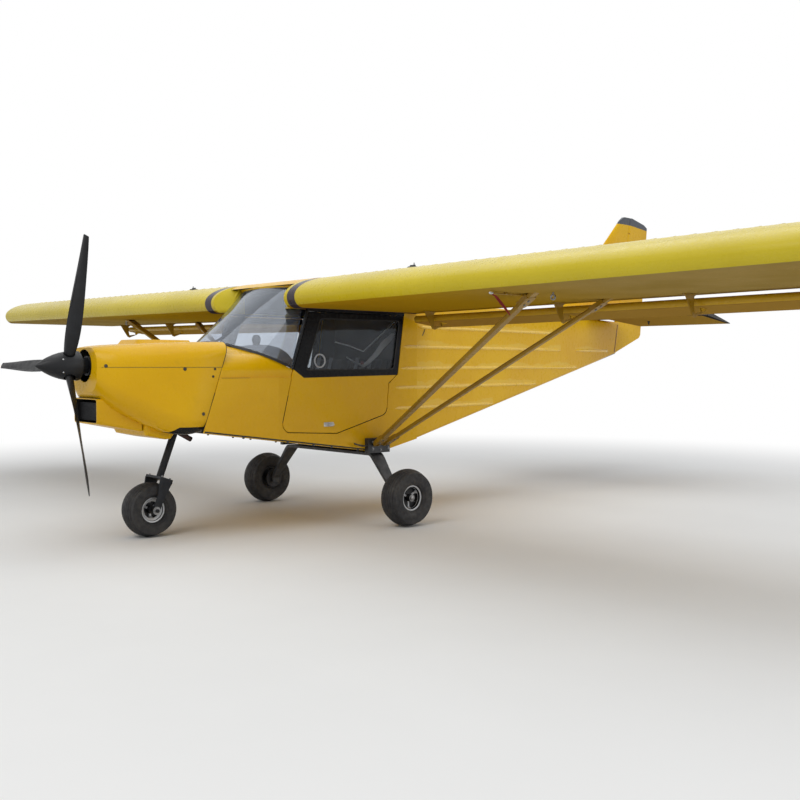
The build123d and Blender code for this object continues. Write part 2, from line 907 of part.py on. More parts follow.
def hinge_notch(plane, nose_r):
    """Slot through the nose of a moving surface, for the lug of its hinge."""
    depth = nose_r + tail_eye_r + tail_notch_side
    with BuildPart() as notch:
        with BuildSketch(plane):
            with Locations((tail_eye_r + tail_notch_side - depth / 2 - 1.0, 0)):
                Rectangle(depth + 2.0, 3 * nose_r)
            Circle(tail_pin_r, mode=Mode.SUBTRACT)
        extrude(amount=tail_lug_thick / 2 + tail_notch_side, both=True)
    return notch.part


# Rear fuselage, closed by the rudder post that leans with the hinge line
boom_outer = boom_body(0.0)
boom_inner = boom_body(boom_skin)
rudder_lugs = [
    hinge_lug(rudder_hinge_plane(z), rudder_nose_r + tail_hinge_gap + tail_lug_root) for z in rudder_hinge_zs
]
bead_wide = 24.0
bead_high = 4.0
bead_root = 3.0
bead_taper = 40.0
bead_table = (
    # height, last station
    (1420.0, 2400.0),
    (1270.0, 2300.0),
    (1110.0, 2150.0),
    (965.0, 1850.0),
    (812.0, 1320.0),
)
bead_first_aft = cabin_end_aft + 14.0


def boom_half(aft):
    """Half width of the rear fuselage."""
    slope = (boom_end_half - cabin_half) / (boom_end_aft - cabin_end_aft)
    return cabin_half + (aft - cabin_end_aft) * slope


def side_bead(sign, z, first, last, half):
    """Stiffening bead pressed out of a side panel, with round ends and sloping edges."""
    ends = [Vector(sign * half(aft), at(aft), z) for aft in (first, last)]
    run = ends[1] - ends[0]
    outward = Vector(sign * run.Y, -sign * run.X, 0).normalized()
    with BuildPart() as bead:
        with BuildSketch(Plane(origin=(ends[0] + ends[1]) / 2, x_dir=run, z_dir=outward).offset(-bead_root)):
            SlotOverall(run.length, bead_wide)
        extrude(amount=bead_root + bead_high, taper=bead_taper)
    return bead.part


with BuildPart() as rear_fuselage:
    add(boom_outer)
    for sign in (1, -1):
        for z, last in bead_table:
            add(side_bead(sign, z, bead_first_aft, last, boom_half))
    with BuildPart(mode=Mode.PRIVATE) as boom_void:
        add(boom_inner)
        split(bisect_by=post_plane.offset(-boom_skin), keep=Keep.BOTTOM)
    add(boom_void.part, mode=Mode.SUBTRACT)
    split(bisect_by=post_plane, keep=Keep.BOTTOM)
    add(rudder_lugs[0])
export(rear_fuselage, "rear_fuselage")


def boom_top(aft):
    """Height of the rear fuselage top line."""
    slope = (boom_end_top_z - boom_top_z) / (boom_end_aft - cabin_end_aft)
    return boom_top_z + (aft - cabin_end_aft) * slope


# Fin: tapered aerofoil with a swept nose, footed on the boom and the tailplane
fin_table = (
    # height, thickness, thickness at the post
    (1560.0, 64.0, 46.0),
    (fin_top_z + 10.0, 34.0, 30.0),
)
fin_full_share = 0.35
fin_front_aft = on_line(fin_le_low, fin_le_top, boom_top(fin_le_low[0]))
with BuildPart() as fin:
    for z, thick, post_thick in fin_table:
        nose = on_line(fin_le_low, fin_le_top, z)
        tail = hinge_line_aft(z)
        with BuildSketch(level(z)):
            add(foil(at(nose), at(nose + (tail - nose) * fin_full_share), at(tail), thick, post_thick))
    loft(ruled=True)
    with BuildSketch(side(-stab_thick)):
        with BuildLine():
            Polyline(
                *placed(
                    [
                        (fin_front_aft - 50.0, boom_top(fin_front_aft - 50.0) + seat_gap),
                        (stab_le_aft - 6.0, boom_top(stab_le_aft - 6.0) + seat_gap),
                        (stab_le_aft - 6.0, fin_foot_z),
                        (elevator_hinge_aft + 260.0, fin_foot_z),
                        (rudder_hinge_top[0] + 60.0, fin_top_z),
                        (fin_le_top[0] + 80.0, fin_top_z),
                        fin_le_top,
                        (fin_front_aft - 50.0, fin_le_low[1]),
                    ]
                ),
                close=True,
            )
        make_face()
    extrude(amount=2 * stab_thick, mode=Mode.INTERSECT)
    split(bisect_by=post_plane, keep=Keep.BOTTOM)
    for lug in rudder_lugs[1:]:
        add(lug)
export(fin, "fin")

rudder_table = (
    # height, thickness at the hinge
    (1240.0, 44.0),
    (fin_top_z + 10.0, 30.0),
)
with BuildPart() as rudder:
    for z, thick in rudder_table:
        tail = on_line(rudder_te_low, rudder_te_top, z)
        hinge = hinge_line_aft(z)
        with BuildSketch(level(z)):
            add(foil(at(hinge - rudder_nose_r), at(hinge), at(tail), thick, tail_te_thick))
    loft(ruled=True)
    with BuildSketch(side(-stab_thick)):
        with BuildLine():
            Polyline(
                *placed(
                    [
                        (rudder_hinge_low[0] - 40.0, rudder_hinge_low[1]),
                        (rudder_hinge_low[0] + 4.0, rudder_hinge_low[1]),
                        (rudder_te_low[0] - 24.0, rudder_te_low[1] - 16.0),
                        (rudder_te_low[0] + 10.0, rudder_te_low[1] + 24.0),
                        (rudder_te_top[0] + 10.0, rudder_te_top[1]),
                        (rudder_te_top[0] - rudder_corner_long, fin_top_z - rudder_corner_drop),
                        (hinge_line_aft(fin_top_z) + 20.0, fin_top_z),
                        (hinge_line_aft(fin_top_z) - 40.0, fin_top_z),
                    ]
                ),
                close=True,
            )
        make_face()
    extrude(amount=2 * stab_thick, mode=Mode.INTERSECT)
    for z in rudder_hinge_zs:
        add(hinge_notch(rudder_hinge_plane(z), rudder_nose_r), mode=Mode.SUBTRACT)
export(rudder, "rudder")

# Tailplane, one aerofoil across the boom, thinner towards its tips
stab_rear_aft = elevator_hinge_aft - elevator_nose_r - tail_hinge_gap
stab_table = (
    # distance to port, leading edge station, thickness, thickness at the rear
    (-tail_half, stab_le_aft + 90.0, 40.0, 40.0),
    (-150.0, stab_le_aft, stab_thick, stab_thick),
    (150.0, stab_le_aft, stab_thick, stab_thick),
    (tail_half, stab_le_aft + 90.0, 40.0, 40.0),
)
with BuildPart() as stabiliser:
    for x, nose, thick, rear_thick in stab_table:
        full = nose + (stab_rear_aft - nose) * fin_full_share
        with BuildSketch(side(x)):
            with Locations((0, stab_z)):
                add(foil(at(nose), at(full), at(stab_rear_aft), thick, rear_thick))
    loft(ruled=True)
    for x in elevator_hinge_xs:
        add(hinge_lug(elevator_hinge_plane(x), elevator_nose_r + tail_hinge_gap + tail_lug_root))
export(stabiliser, "stabiliser")

# Elevator: two halves on one torque tube that runs between boom and fin
elevator_gap_half = 80.0
elevator_cut_half = 200.0
elevator_cut_front = elevator_hinge_aft + 30.0
with BuildPart() as elevator:
    for sign in (1, -1):
        with BuildSketch(side(sign * elevator_gap_half)):
            with BuildLine():
                Polyline(
                    (at(elevator_hinge_aft), stab_z + elevator_nose_r),
                    (at(elevator_te_aft), elevator_te_z + tail_te_thick),
                    (at(elevator_te_aft), elevator_te_z),
                    (at(elevator_hinge_aft), stab_z - elevator_nose_r),
                )
                ThreePointArc(
                    (at(elevator_hinge_aft), stab_z + elevator_nose_r),
                    (at(elevator_hinge_aft) - elevator_nose_r, stab_z),
                    (at(elevator_hinge_aft), stab_z - elevator_nose_r),
                )
            make_face()
        extrude(amount=sign * (tail_half - elevator_gap_half))
    with BuildSketch(Plane.XY.offset(elevator_te_z - 50.0)):
        with BuildLine():
            Polyline(
                (-elevator_gap_half - 4.0, at(elevator_cut_front)),
                (elevator_gap_half + 4.0, at(elevator_cut_front)),
                (elevator_cut_half, at(elevator_te_aft + 10.0)),
                (-elevator_cut_half, at(elevator_te_aft + 10.0)),
                close=True,
            )
        make_face()
    extrude(amount=250.0, mode=Mode.SUBTRACT)
    with BuildSketch(side(-elevator_gap_half)):
        with Locations((at(elevator_hinge_aft), stab_z)):
            Circle(elevator_nose_r - 1.0)
    extrude(amount=2 * elevator_gap_half)
    for x in elevator_hinge_xs:
        add(hinge_notch(elevator_hinge_plane(x), elevator_nose_r), mode=Mode.SUBTRACT)
export(elevator, "elevator")


def strut(start, end, wide, thick):
    """Streamlined tube between two points, long side fore and aft."""
    direction = Vector(*end) - Vector(*start)
    plane = Plane(origin=start, x_dir=(0, 1, 0), z_dir=direction)
    with BuildPart() as tube:
        with BuildSketch(plane):
            SlotOverall(wide, thick)
        extrude(amount=direction.length)
    return tube.part


# Strut brackets at the lower longerons
strut_foot_z = 558.0
bracket_aft = 15.0
bracket_long = 210.0
bracket_wide = 36.0
bracket_high = 108.0
bracket_x = cabin_half + seat_gap + bracket_wide / 2
with BuildPart() as strut_brackets:
    for sign in (1, -1):
        with Locations((sign * bracket_x, at(bracket_aft), belly_low_z + bracket_high / 2)):
            Box(bracket_wide, bracket_long, bracket_high)
export(strut_brackets, "strut_brackets")

strut_table = (
    # label, foot station, head station, tube width
    ("front_strut", -10.0, -454.0, 62.0),
    ("rear_strut", 70.0, 251.0, 48.0),
)
strut_head_x = 2360.0
strut_thick = 26.0
strut_over = 120.0
strut_foot_x = cabin_half + bracket_wide
for name, foot_aft, head_aft, wide in strut_table:
    for label, sign in (("left", 1), ("right", -1)):
        head_z = wing_bottom_z + rise(strut_head_x)
        start = Vector(sign * strut_foot_x, at(foot_aft), strut_foot_z)
        end = Vector(sign * strut_head_x, at(head_aft), head_z)
        reach = (end - start).normalized() * strut_over
        tube = strut(tuple(start - reach), tuple(end + reach), wide, strut_thick)
        under = Plane(
            origin=(sign * strut_head_x, 0, head_z - seat_gap),
            z_dir=(-sign * sin(radians(dihedral)), 0, cos(radians(dihedral))),
        )
        outer = Plane(origin=(sign * (strut_foot_x + 2 * seat_gap), 0, 0), z_dir=(sign, 0, 0))
        with BuildPart() as strut_part:
            add(tube)
            split(bisect_by=under, keep=Keep.BOTTOM)
            split(bisect_by=outer, keep=Keep.TOP)
        export(strut_part, f"{name}_{label}")

# Flaperon hinge brackets under the wings: a foot, an upright and a beak to the hinge
bracket_foot_long = 48.0
bracket_web = 14.0
bracket_foot_drop = 16.0
beak_rear_long = 21.0
beak_drop = 18.0
beak_low = 42.0
bracket_eye_wall = 4.0
with BuildPart() as flaperon_brackets:
    for sign in (1, -1):
        for x in bracket_xs:
            top = wing_bottom_z + rise(x) - seat_gap
            hinge = flap_hinge_z + rise(x)
            with BuildSketch(side(sign * x)):
                with BuildLine():
                    Polyline(
                        (at(bracket_front_aft), top),
                        (at(bracket_front_aft + bracket_foot_long), top),
                        (at(bracket_front_aft + bracket_web), top - bracket_foot_drop),
                        (at(bracket_front_aft + bracket_web), hinge + bracket_web),
                        (at(bracket_front_aft + beak_rear_long), hinge - beak_drop),
                        (at(flap_hinge_aft), hinge - hinge_eye_r),
                        (at(flap_hinge_aft), hinge - hinge_eye_r - bracket_eye_wall),
                        (at(bracket_front_aft + beak_rear_long), hinge - beak_low),
                        (at(bracket_front_aft), hinge - (beak_drop + beak_low) / 2),
                        close=True,
                    )
                make_face()
                with Locations((at(flap_hinge_aft), hinge)):
                    Circle(hinge_eye_r + bracket_eye_wall)
                    Circle(hinge_pin_r + running_gap, mode=Mode.SUBTRACT)
            extrude(amount=bracket_thick / 2, both=True)
export(flaperon_brackets, "flaperon_brackets")

# Tie-down rings under the wings, just outboard of the struts
tie_down_x = strut_head_x + 110.0
tie_down_aft = -420.0
ring_r = 10.0
ring_rim = 7.0
ring_thick = 8.0
with BuildPart() as tie_down_rings:
    for sign in (1, -1):
        top = wing_bottom_z + rise(tie_down_x - ring_thick) - seat_gap
        centre = top - 2 * ring_r - ring_rim
        with BuildSketch(section(tie_down_aft)):
            with Locations((sign * tie_down_x, centre)):
                Circle(ring_r + ring_rim)
            with Locations((sign * tie_down_x, (centre + top) / 2)):
                Rectangle(ring_thick, top - centre)
            with Locations((sign * tie_down_x, centre)):
                Circle(ring_r, mode=Mode.SUBTRACT)
        extrude(amount=ring_thick / 2, both=True)
export(tie_down_rings, "tie_down_rings")

# Main gear: one bowed leaf under the belly, tapering to the axles
leaf = 20.0
leaf_wide = 110.0
leaf_foot_wide = 64.0
leaf_aft = 10.0
leg_low_z = main_r - 34.0
leg_turn_z = main_r + 40.0
leaf_deep = 50.0
bend_r = 60.0
bow_z = belly_low_z - seat_gap
bow_outline = (
    (leg_x, main_r + 22.0),
    (cabin_half + 10.0, bow_z),
)
bow_inside = (
    (leg_x - leaf, main_r + 14.0),
    (cabin_half, bow_z - leaf),
)


def bow_line(corners):
    """One face of the bowed leaf, from the right foot over to the left foot."""
    foot_x = corners[0][0]
    left = [(foot_x, leg_low_z), *corners]
    return [(-x, z) for x, z in left] + left[::-1]


with BuildPart() as gear_bow:
    with BuildSketch(section(leaf_aft - leaf_wide / 2)):
        with BuildLine():
            FilletPolyline(*bow_line(bow_outline), radius=bend_r)
            FilletPolyline(*bow_line(bow_inside), radius=bend_r - leaf)
            Line((-leg_x, leg_low_z), (leaf - leg_x, leg_low_z))
            Line((leg_x, leg_low_z), (leg_x - leaf, leg_low_z))
        make_face()
    extrude(amount=-leaf_wide)
    with BuildSketch(side(-2 * leg_x)):
        with BuildLine():
            Polyline(
                (at(leaf_aft - leaf_wide / 2), bow_z + 10.0),
                (at(leaf_aft - leaf_wide / 2), bow_z - leaf_deep + 10.0),
                (at(-leaf_foot_wide / 2), leg_turn_z),
                (at(-leaf_foot_wide / 2), leg_low_z - 10.0),
                (at(leaf_foot_wide / 2), leg_low_z - 10.0),
                (at(leaf_foot_wide / 2), leg_turn_z),
                (at(leaf_aft + leaf_wide / 2), bow_z - leaf_deep + 10.0),
                (at(leaf_aft + leaf_wide / 2), bow_z + 10.0),
                close=True,
            )
        make_face()
    extrude(amount=4 * leg_x, mode=Mode.INTERSECT)
export(gear_bow, "gear_bow")

axle_end = 22.0
axle_collar_r = 18.0
axle_collar = 8.0
bead_share = 0.62
hub_inset = 6.0
tread_share = 0.72
wall_share = 0.8
tread_drop = 16.0
bead_rise = 6.0
hub_wall = 14.0
barrel_wall = 10.0
barrel_drop = 16.0
web_outer = 4.0
web_inner = -12.0
with BuildPart() as main_axles:
    for sign in (1, -1):
        with BuildSketch(side(sign * (leg_x + seat_gap))):
            with Locations((at(0.0), main_r)):
                Circle(axle_r)
        extrude(amount=sign * (track / 2 + main_w / 2 - axle_end - leg_x))
        with BuildSketch(side(sign * (leg_x + seat_gap))):
            with Locations((at(0.0), main_r)):
                Circle(axle_collar_r)
        extrude(amount=sign * (axle_collar - seat_gap))
export(main_axles, "main_axles")

# Disc brakes: calipers on plates bolted to the legs, gripping the wheels' discs
disc_r = 74.0
disc_thick = 5.0
disc_gap = 1.5
disc_in = track / 2 - leg_x - axle_collar - seat_gap
caliper_wide = 56.0
caliper_low_r = 46.0
caliper_high_r = 88.0
caliper_lean = 35.0
caliper_thick = 26.0
caliper_plate = 5.0
caliper_corner_r = 8.0
plate_rim = 12.0
plate_arm = 1.6 * axle_collar_r
with BuildPart() as brake_calipers:
    for sign in (1, -1):
        plate_plane = Plane(
            origin=(sign * (leg_x + seat_gap), at(0.0), main_r),
            x_dir=(0, cos(radians(caliper_lean)), sin(radians(caliper_lean))),
            z_dir=(sign, 0, 0),
        )
        with BuildSketch(plate_plane):
            Circle(axle_collar_r + plate_rim)
            with Locations((caliper_low_r / 2, 0)):
                Rectangle(caliper_low_r, plate_arm)
            with Locations(((caliper_low_r + caliper_high_r) / 2, 0)):
                Rectangle(caliper_high_r - caliper_low_r, caliper_wide)
            Circle(axle_collar_r + seat_gap, mode=Mode.SUBTRACT)
        extrude(amount=caliper_plate)
        with BuildSketch(plate_plane):
            with Locations(((caliper_low_r + caliper_high_r) / 2, 0)):
                RectangleRounded(caliper_high_r - caliper_low_r, caliper_wide, caliper_corner_r)
        extrude(amount=caliper_thick)
        with BuildSketch(plate_plane.offset(axle_collar - disc_gap)):
            Circle(disc_r + 2 * disc_gap)
        extrude(amount=disc_thick + 2 * disc_gap, mode=Mode.SUBTRACT)
export(brake_calipers, "brake_calipers")


def tyre_profile(radius, width, rim):
    """Half section of a balloon tyre, radius up and width across."""
    half = width / 2
    bead = half * bead_share
    foot = (half * wall_share, rim + bead_rise)
    wall_middle = (half, (rim + radius) / 2)
    tread = (half * tread_share, radius - tread_drop)
    with BuildSketch(Plane.XY) as outline:
        with BuildLine():
            Line((-bead, rim), (bead, rim))
            for turn in (1, -1):
                low, middle, high = [(turn * x, r) for x, r in (foot, wall_middle, tread)]
                Line((turn * bead, rim), low)
                ThreePointArc(low, middle, high)
            ThreePointArc(tread, (0, radius), (-tread[0], tread[1]))
        make_face()
    return outline.sketch


def rim_profile(rim, width, inboard, sleeve):
    """Half section of a wheel: barrel, web and hub, the hub's sleeve reaching inboard.

    A main wheel's sleeve carries its brake disc; the nose wheel's has none.
    """
    bead = width / 2 * bead_share
    hub = axle_r + hub_wall
    flange = [(sleeve - disc_thick, hub), (sleeve - disc_thick, disc_r), (sleeve, disc_r)]
    points = [
        (-bead, rim),
        (bead, rim),
        (bead, rim - barrel_wall),
        (web_outer, rim - barrel_drop),
        (web_outer, hub),
        *(flange if sleeve > bead else []),
        (sleeve, hub),
        (sleeve, axle_r + running_gap),
        (hub_inset - bead, axle_r + running_gap),
        (hub_inset - bead, hub),
        (web_inner, hub),
        (web_inner, rim - barrel_drop),
        (-bead, rim - barrel_wall),
    ]
    with BuildSketch(Plane.XY) as outline:
        with BuildLine():
            Polyline(*[(inboard * x, r) for x, r in points], close=True)
        make_face()
    return outline.sketch


def wheel(label, x, aft, radius, width, rim, sleeve):
    """Rim and tyre of one wheel, turned about its axle."""
    axis = Axis((x, at(aft), radius), (1, 0, 0))
    plane = Plane(origin=(x, at(aft), radius), x_dir=(1, 0, 0), z_dir=(0, -1, 0))
    rubber = tyre_profile(radius, width, rim)
    metal = rim_profile(rim, width, -1 if x > 0 else 1, sleeve)
    with BuildPart() as tyre:
        with BuildSketch(plane):
            add(rubber)
        revolve(axis=axis)
    export(tyre, f"{label}_tyre")
    with BuildPart() as rim_part:
        with BuildSketch(plane):
            add(metal)
        revolve(axis=axis)
    export(rim_part, f"{label}_rim")


wheel("main_left", track / 2, 0.0, main_r, main_w, main_rim_r, disc_in)
wheel("main_right", -track / 2, 0.0, main_r, main_w, main_rim_r, disc_in)
wheel("nose", 0.0, -wheel_base, nose_r, nose_w, nose_rim_r, nose_w / 2 * bead_share - hub_inset)

# Nose leg along the leaning steering axis, fork and axle
steer = radians(steer_lean)
steer_up = (0, sin(steer), cos(steer))
crown_rise = 205.0
leg_tube_r = 24.0
crown_thick = 16.0
plate_thick = 8.0
fork_half = nose_w / 2 + 12.0
tow_pin_long = 16.0
fork_foot_r = 24.0
fork_shoulder = 27.0
crown_long = 96.0
crown_corner_r = 6.0
leg_tube_long = 620.0
clamp_wide = 90.0
clamp_high = 190.0
clamp_long = 50.0
clamp_z = 830.0


def on_steer(rise_along):
    """Point on the steering axis, measured up from the nose axle."""
    return (0, at(-wheel_base) + rise_along * sin(steer), nose_r + rise_along * cos(steer))


steer_plane = Plane(origin=on_steer(0.0), x_dir=(1, 0, 0), z_dir=steer_up)
with BuildPart() as nose_fork:
    with BuildSketch(steer_plane.offset(crown_rise)):
        RectangleRounded(2 * (fork_half + plate_thick), crown_long, crown_corner_r)
    extrude(amount=crown_thick)
    for sign in (1, -1):
        with BuildSketch(
            Plane(origin=on_steer(0.0), x_dir=(0, cos(steer), -sin(steer)), z_dir=(1, 0, 0)).offset(
                fork_half if sign > 0 else -fork_half - plate_thick
            )
        ):
            with BuildLine():
                Polyline(
                    (-fork_foot_r, 0),
                    (fork_foot_r, 0),
                    (fork_shoulder, crown_rise * 0.5),
                    (crown_long / 2, crown_rise),
                    (-crown_long / 2, crown_rise),
                    (-fork_shoulder, crown_rise * 0.5),
                    close=True,
                )
            make_face()
            Circle(fork_foot_r)
        extrude(amount=plate_thick)
    with BuildSketch(side(0)):
        with Locations((at(-wheel_base), nose_r)):
            Circle(axle_r)
    extrude(amount=fork_half + plate_thick + tow_pin_long, both=True)
export(nose_fork, "nose_fork")

leg_foot = crown_rise + crown_thick + seat_gap
with BuildPart() as nose_leg:
    with BuildSketch(steer_plane.offset(leg_foot)):
        Circle(leg_tube_r)
    extrude(amount=leg_tube_long)
    with BuildSketch(section(firewall_aft)):
        with Locations((0, clamp_z)):
            Rectangle(clamp_wide, clamp_high)
    extrude(amount=clamp_long)
    split(bisect_by=section(firewall_aft).offset(seat_gap), keep=Keep.TOP)
export(nose_leg, "nose_leg")

# Spinner shell and propeller
blade_angles = (30.0, 150.0, 270.0)
shank_r = 30.0
hub_r = 66.0
hub_half = 45.0
shaft_r = 50.0
spinner_skin = 4.0
spinner_skirt = 50.0
ogive_share = 0.42
ogive_r_share = 0.64
void_r_share = 0.6


def spinner_profile():
    """Half section of the spinner: ogive nose and short straight skirt."""
    r = spinner_r
    tip = at(spinner_tip_aft)
    skirt = at(spinner_base_aft - spinner_skirt)
    base = at(spinner_base_aft)
    with BuildSketch(Plane.XY) as outline:
        with BuildLine():
            ThreePointArc((0, tip), (r * ogive_r_share, tip + (skirt - tip) * ogive_share), (r, skirt))
            Line((r, skirt), (r, base))
            Line((r, base), (0, base))
            Line((0, base), (0, tip))
        make_face()
    return outline.sketch


def spinner_void():
    """Half section of the hollow inside the spinner, with straight sides."""
    r = spinner_r - spinner_skin
    tip = at(spinner_tip_aft)
    skirt = at(spinner_base_aft - spinner_skirt)
    with BuildSketch(Plane.XY) as outline:
        with BuildLine():
            Polyline(
                (0, tip + 4 * spinner_skin),
                (r * void_r_share, tip + (skirt - tip) * ogive_share + spinner_skin),
                (r, skirt),
                (r, at(spinner_base_aft)),
                (0, at(spinner_base_aft)),
                close=True,
            )
        make_face()
    return outline.sketch


spinner_face = spinner_profile()
spinner_hollow = spinner_void()
turn_plane = Plane(origin=(0, 0, thrust_z), x_dir=(1, 0, 0), z_dir=(0, 0, 1))
thrust_axis = Axis((0, 0, thrust_z), (0, 1, 0))
with BuildPart() as spinner:
    with BuildSketch(turn_plane):
        add(spinner_face)
    revolve(axis=thrust_axis)
    with BuildSketch(turn_plane):
        add(spinner_hollow)
    revolve(axis=thrust_axis, mode=Mode.SUBTRACT)
    with BuildSketch(section(hub_aft + hub_half + seat_gap + spinner_skin)):
        with Locations((0, thrust_z)):
            Circle(spinner_r - 1.0)
            Circle(shaft_r + seat_gap, mode=Mode.SUBTRACT)
    extrude(amount=spinner_skin)
    for angle in blade_angles:
        out = (sin(radians(angle)), 0, cos(radians(angle)))
        with BuildSketch(Plane(origin=(0, at(hub_aft), thrust_z), x_dir=(0, 1, 0), z_dir=out)):
            Circle(shank_r + 6.0)
        extrude(amount=2 * spinner_r, mode=Mode.SUBTRACT)
export(spinner, "spinner")

blade_table = (
    # radius, chord, thickness, pitch, lean ahead of the hub
    (hub_r - 14.0, 56.0, 46.0, 52.0, 0.0),
    (150.0, 84.0, 34.0, 48.0, 4.0),
    (280.0, 98.0, 18.0, 41.0, 12.0),
    (600.0, 76.0, 11.0, 31.0, 38.0),
    (prop_r, 40.0, 6.0, 25.0, 66.0),
)


def blade(angle):
    """One blade from hub to square tip, lens sections twisted to their pitch."""
    a = radians(angle)
    out = Vector(sin(a), 0, cos(a))
    spin = Vector(cos(a), 0, -sin(a))
    with BuildPart() as body:
        for radius, chord, thick, pitch, lean in blade_table:
            p = radians(pitch)
            origin = Vector(0, at(hub_aft) - lean, thrust_z) + out * radius
            chordwise = spin * cos(p) + Vector(0, 1, 0) * sin(p)
            with BuildSketch(Plane(origin=origin, x_dir=chordwise, z_dir=out)):
                with BuildLine():
                    ThreePointArc((-chord / 2, 0), (0, thick / 2), (chord / 2, 0))
                    ThreePointArc((chord / 2, 0), (0, -thick / 2), (-chord / 2, 0))
                make_face()
        loft()
    return body.part


blades = [blade(angle) for angle in blade_angles]
with BuildPart() as propeller:
    with BuildSketch(section(hub_aft)):
        with Locations((0, thrust_z)):
            Circle(hub_r)
    extrude(amount=hub_half, both=True)
    with BuildSketch(section(gearbox_front_aft - seat_gap)):
        with Locations((0, thrust_z)):
            Circle(shaft_r)
    extrude(amount=gearbox_front_aft - seat_gap - hub_aft)
    for piece in blades:
        add(piece)
export(propeller, "propeller")

# Doors: leaf below the sill, window frame above it, glass in the frame
pane_thick = 4.0
window_corner_r = 30.0
window_outline = (
    (-495.0, door_top_z - 42.0),
    (-622.0, sill_z + 40.0),
    (190.0, sill_z + 45.0),
    (245.0, door_top_z - 38.0),
)
with BuildSketch(Plane.XY) as window_face:
    with BuildLine():
        FilletPolyline(*placed(window_outline), radius=window_corner_r, close=True)
    make_face()
window = window_face.sketch
sill_line = (
    (-900.0, pillar_foot[1] + 2.0),
    (pillar_foot[0] - 2.0, pillar_foot[1] + 2.0),
    (-640.0, sill_z - 14.0),
    (400.0, sill_z + 2.0),
)
below_door = 400.0
with BuildSketch(Plane.XY) as sill_face:
    with BuildLine():
        Polyline(
            *placed([*sill_line, (sill_line[-1][0], below_door), (sill_line[0][0], below_door)]),
            close=True,
        )
    make_face()
below_sill = sill_face.sketch
for side_name, sign in (("left", 1), ("right", -1)):
    inner = sign * (cabin_half - wall)
    with BuildPart() as door:
        with BuildSketch(side(inner)):
            add(door_leaf)
            add(below_sill, mode=Mode.INTERSECT)
        extrude(amount=sign * wall)
    export(door, f"door_{side_name}")
    with BuildPart() as frame_part:
        with BuildSketch(side(inner)):
            add(door_leaf)
            add(below_sill, mode=Mode.SUBTRACT)
            add(window, mode=Mode.SUBTRACT)
        extrude(amount=sign * wall)
        for aft in door_hinge_aft:
            with BuildSketch(section(aft)):
                with Locations((sign * hinge_x, hinge_z)):
                    Circle(door_eye_r - 1.0)
                with Locations((sign * (cabin_half + 0.5), hinge_z - 8.0)):
                    Rectangle(5.0, 14.0)
            extrude(amount=door_pin_long / 2 - door_eye_long - 1.0, both=True)
            with BuildSketch(section(aft)):
                with Locations((sign * hinge_x, hinge_z)):
                    Circle(door_pin_r)
            extrude(amount=door_pin_long / 2, both=True)
    export(frame_part, f"window_frame_{side_name}")
    with BuildPart() as pane:
        with BuildSketch(side(sign * (cabin_half - wall / 2))):
            add(window)
        extrude(amount=sign * pane_thick)
    export(pane, f"door_glass_{side_name}")

# Instrument panel with its hood
panel_aft = -775.0
panel_thick = 20.0
panel_low_z = 960.0
panel_side_z = deck_edge_z - seat_gap
panel_top_z = 1225.0
hood_half = 330.0
hood_side_z = 1176.0
hood_long = 130.0
with BuildPart() as instrument_panel:
    with BuildSketch(section(panel_aft)):
        with BuildLine():
            w = cabin_half - wall - seat_gap
            Line((-w, panel_low_z), (w, panel_low_z))
            Line((w, panel_low_z), (w, panel_side_z))
            ThreePointArc((w, panel_side_z), (0, panel_top_z), (-w, panel_side_z))
            Line((-w, panel_side_z), (-w, panel_low_z))
        make_face()
    extrude(amount=panel_thick)
    with BuildSketch(section(panel_aft)):
        with BuildLine():
            v = hood_half
            ThreePointArc((-v, hood_side_z), (0, panel_top_z + 4.0), (v, hood_side_z))
            Line((v, hood_side_z), (v, hood_side_z - 8.0))
            ThreePointArc((v, hood_side_z - 8.0), (0, panel_top_z - 4.0), (-v, hood_side_z - 8.0))
            Line((-v, hood_side_z - 8.0), (-v, hood_side_z))
        make_face()
    extrude(amount=hood_long)
export(instrument_panel, "instrument_panel")

# Seats: shells on the floor, with cushions
seat_x = 235.0
seat_half = 205.0
cushion_half = 195.0
pan_front = (-420.0, 700.0)
pan_rear = (60.0, 640.0)
seat_outline = (
    pan_front,
    pan_rear,
    (215.0, 1180.0),
    (240.0, 1180.0),
    (95.0, 640.0),
    (70.0, boom_low_z(70.0) + floor_thick + seat_gap),
    (50.0, belly_low_z + floor_thick + seat_gap),
    (-420.0, belly_z(-420.0) + floor_thick + seat_gap),
)
seat_box = (
    (-405.0, 682.0),
    (50.0, 625.0),
    (50.0, belly_low_z + floor_thick - 10.0),
    (-405.0, belly_z(-405.0) + floor_thick - 10.0),
)
with BuildPart() as seat_shells:
    for sign in (1, -1):
        with BuildSketch(side(sign * seat_x - seat_half)):
            with BuildLine():
                Polyline(*placed(seat_outline), close=True)
            make_face()
            with BuildLine():
                Polyline(*placed(seat_box), close=True)
            make_face(mode=Mode.SUBTRACT)
        extrude(amount=2 * seat_half)
export(seat_shells, "seat_shells")

cushion = 70.0
pan_slope = (pan_rear[1] - pan_front[1]) / (pan_rear[0] - pan_front[0])


def pan_z(aft):
    """Height of the seat pan's upper face."""
    return pan_front[1] + (aft - pan_front[0]) * pan_slope


with BuildPart() as seat_cushions:
    for sign in (1, -1):
        with BuildSketch(side(sign * seat_x - cushion_half)):
            with BuildLine():
                Polyline(
                    *placed(
                        [
                            (-418.0, pan_z(-418.0) + seat_gap),
                            (-30.0, pan_z(-30.0) + seat_gap),
                            (-30.0, pan_z(-30.0) + cushion),
                            (-418.0, pan_z(-418.0) + cushion),
                        ]
                    ),
                    close=True,
                )
            make_face()
        extrude(amount=2 * cushion_half)
export(seat_cushions, "seat_cushions")

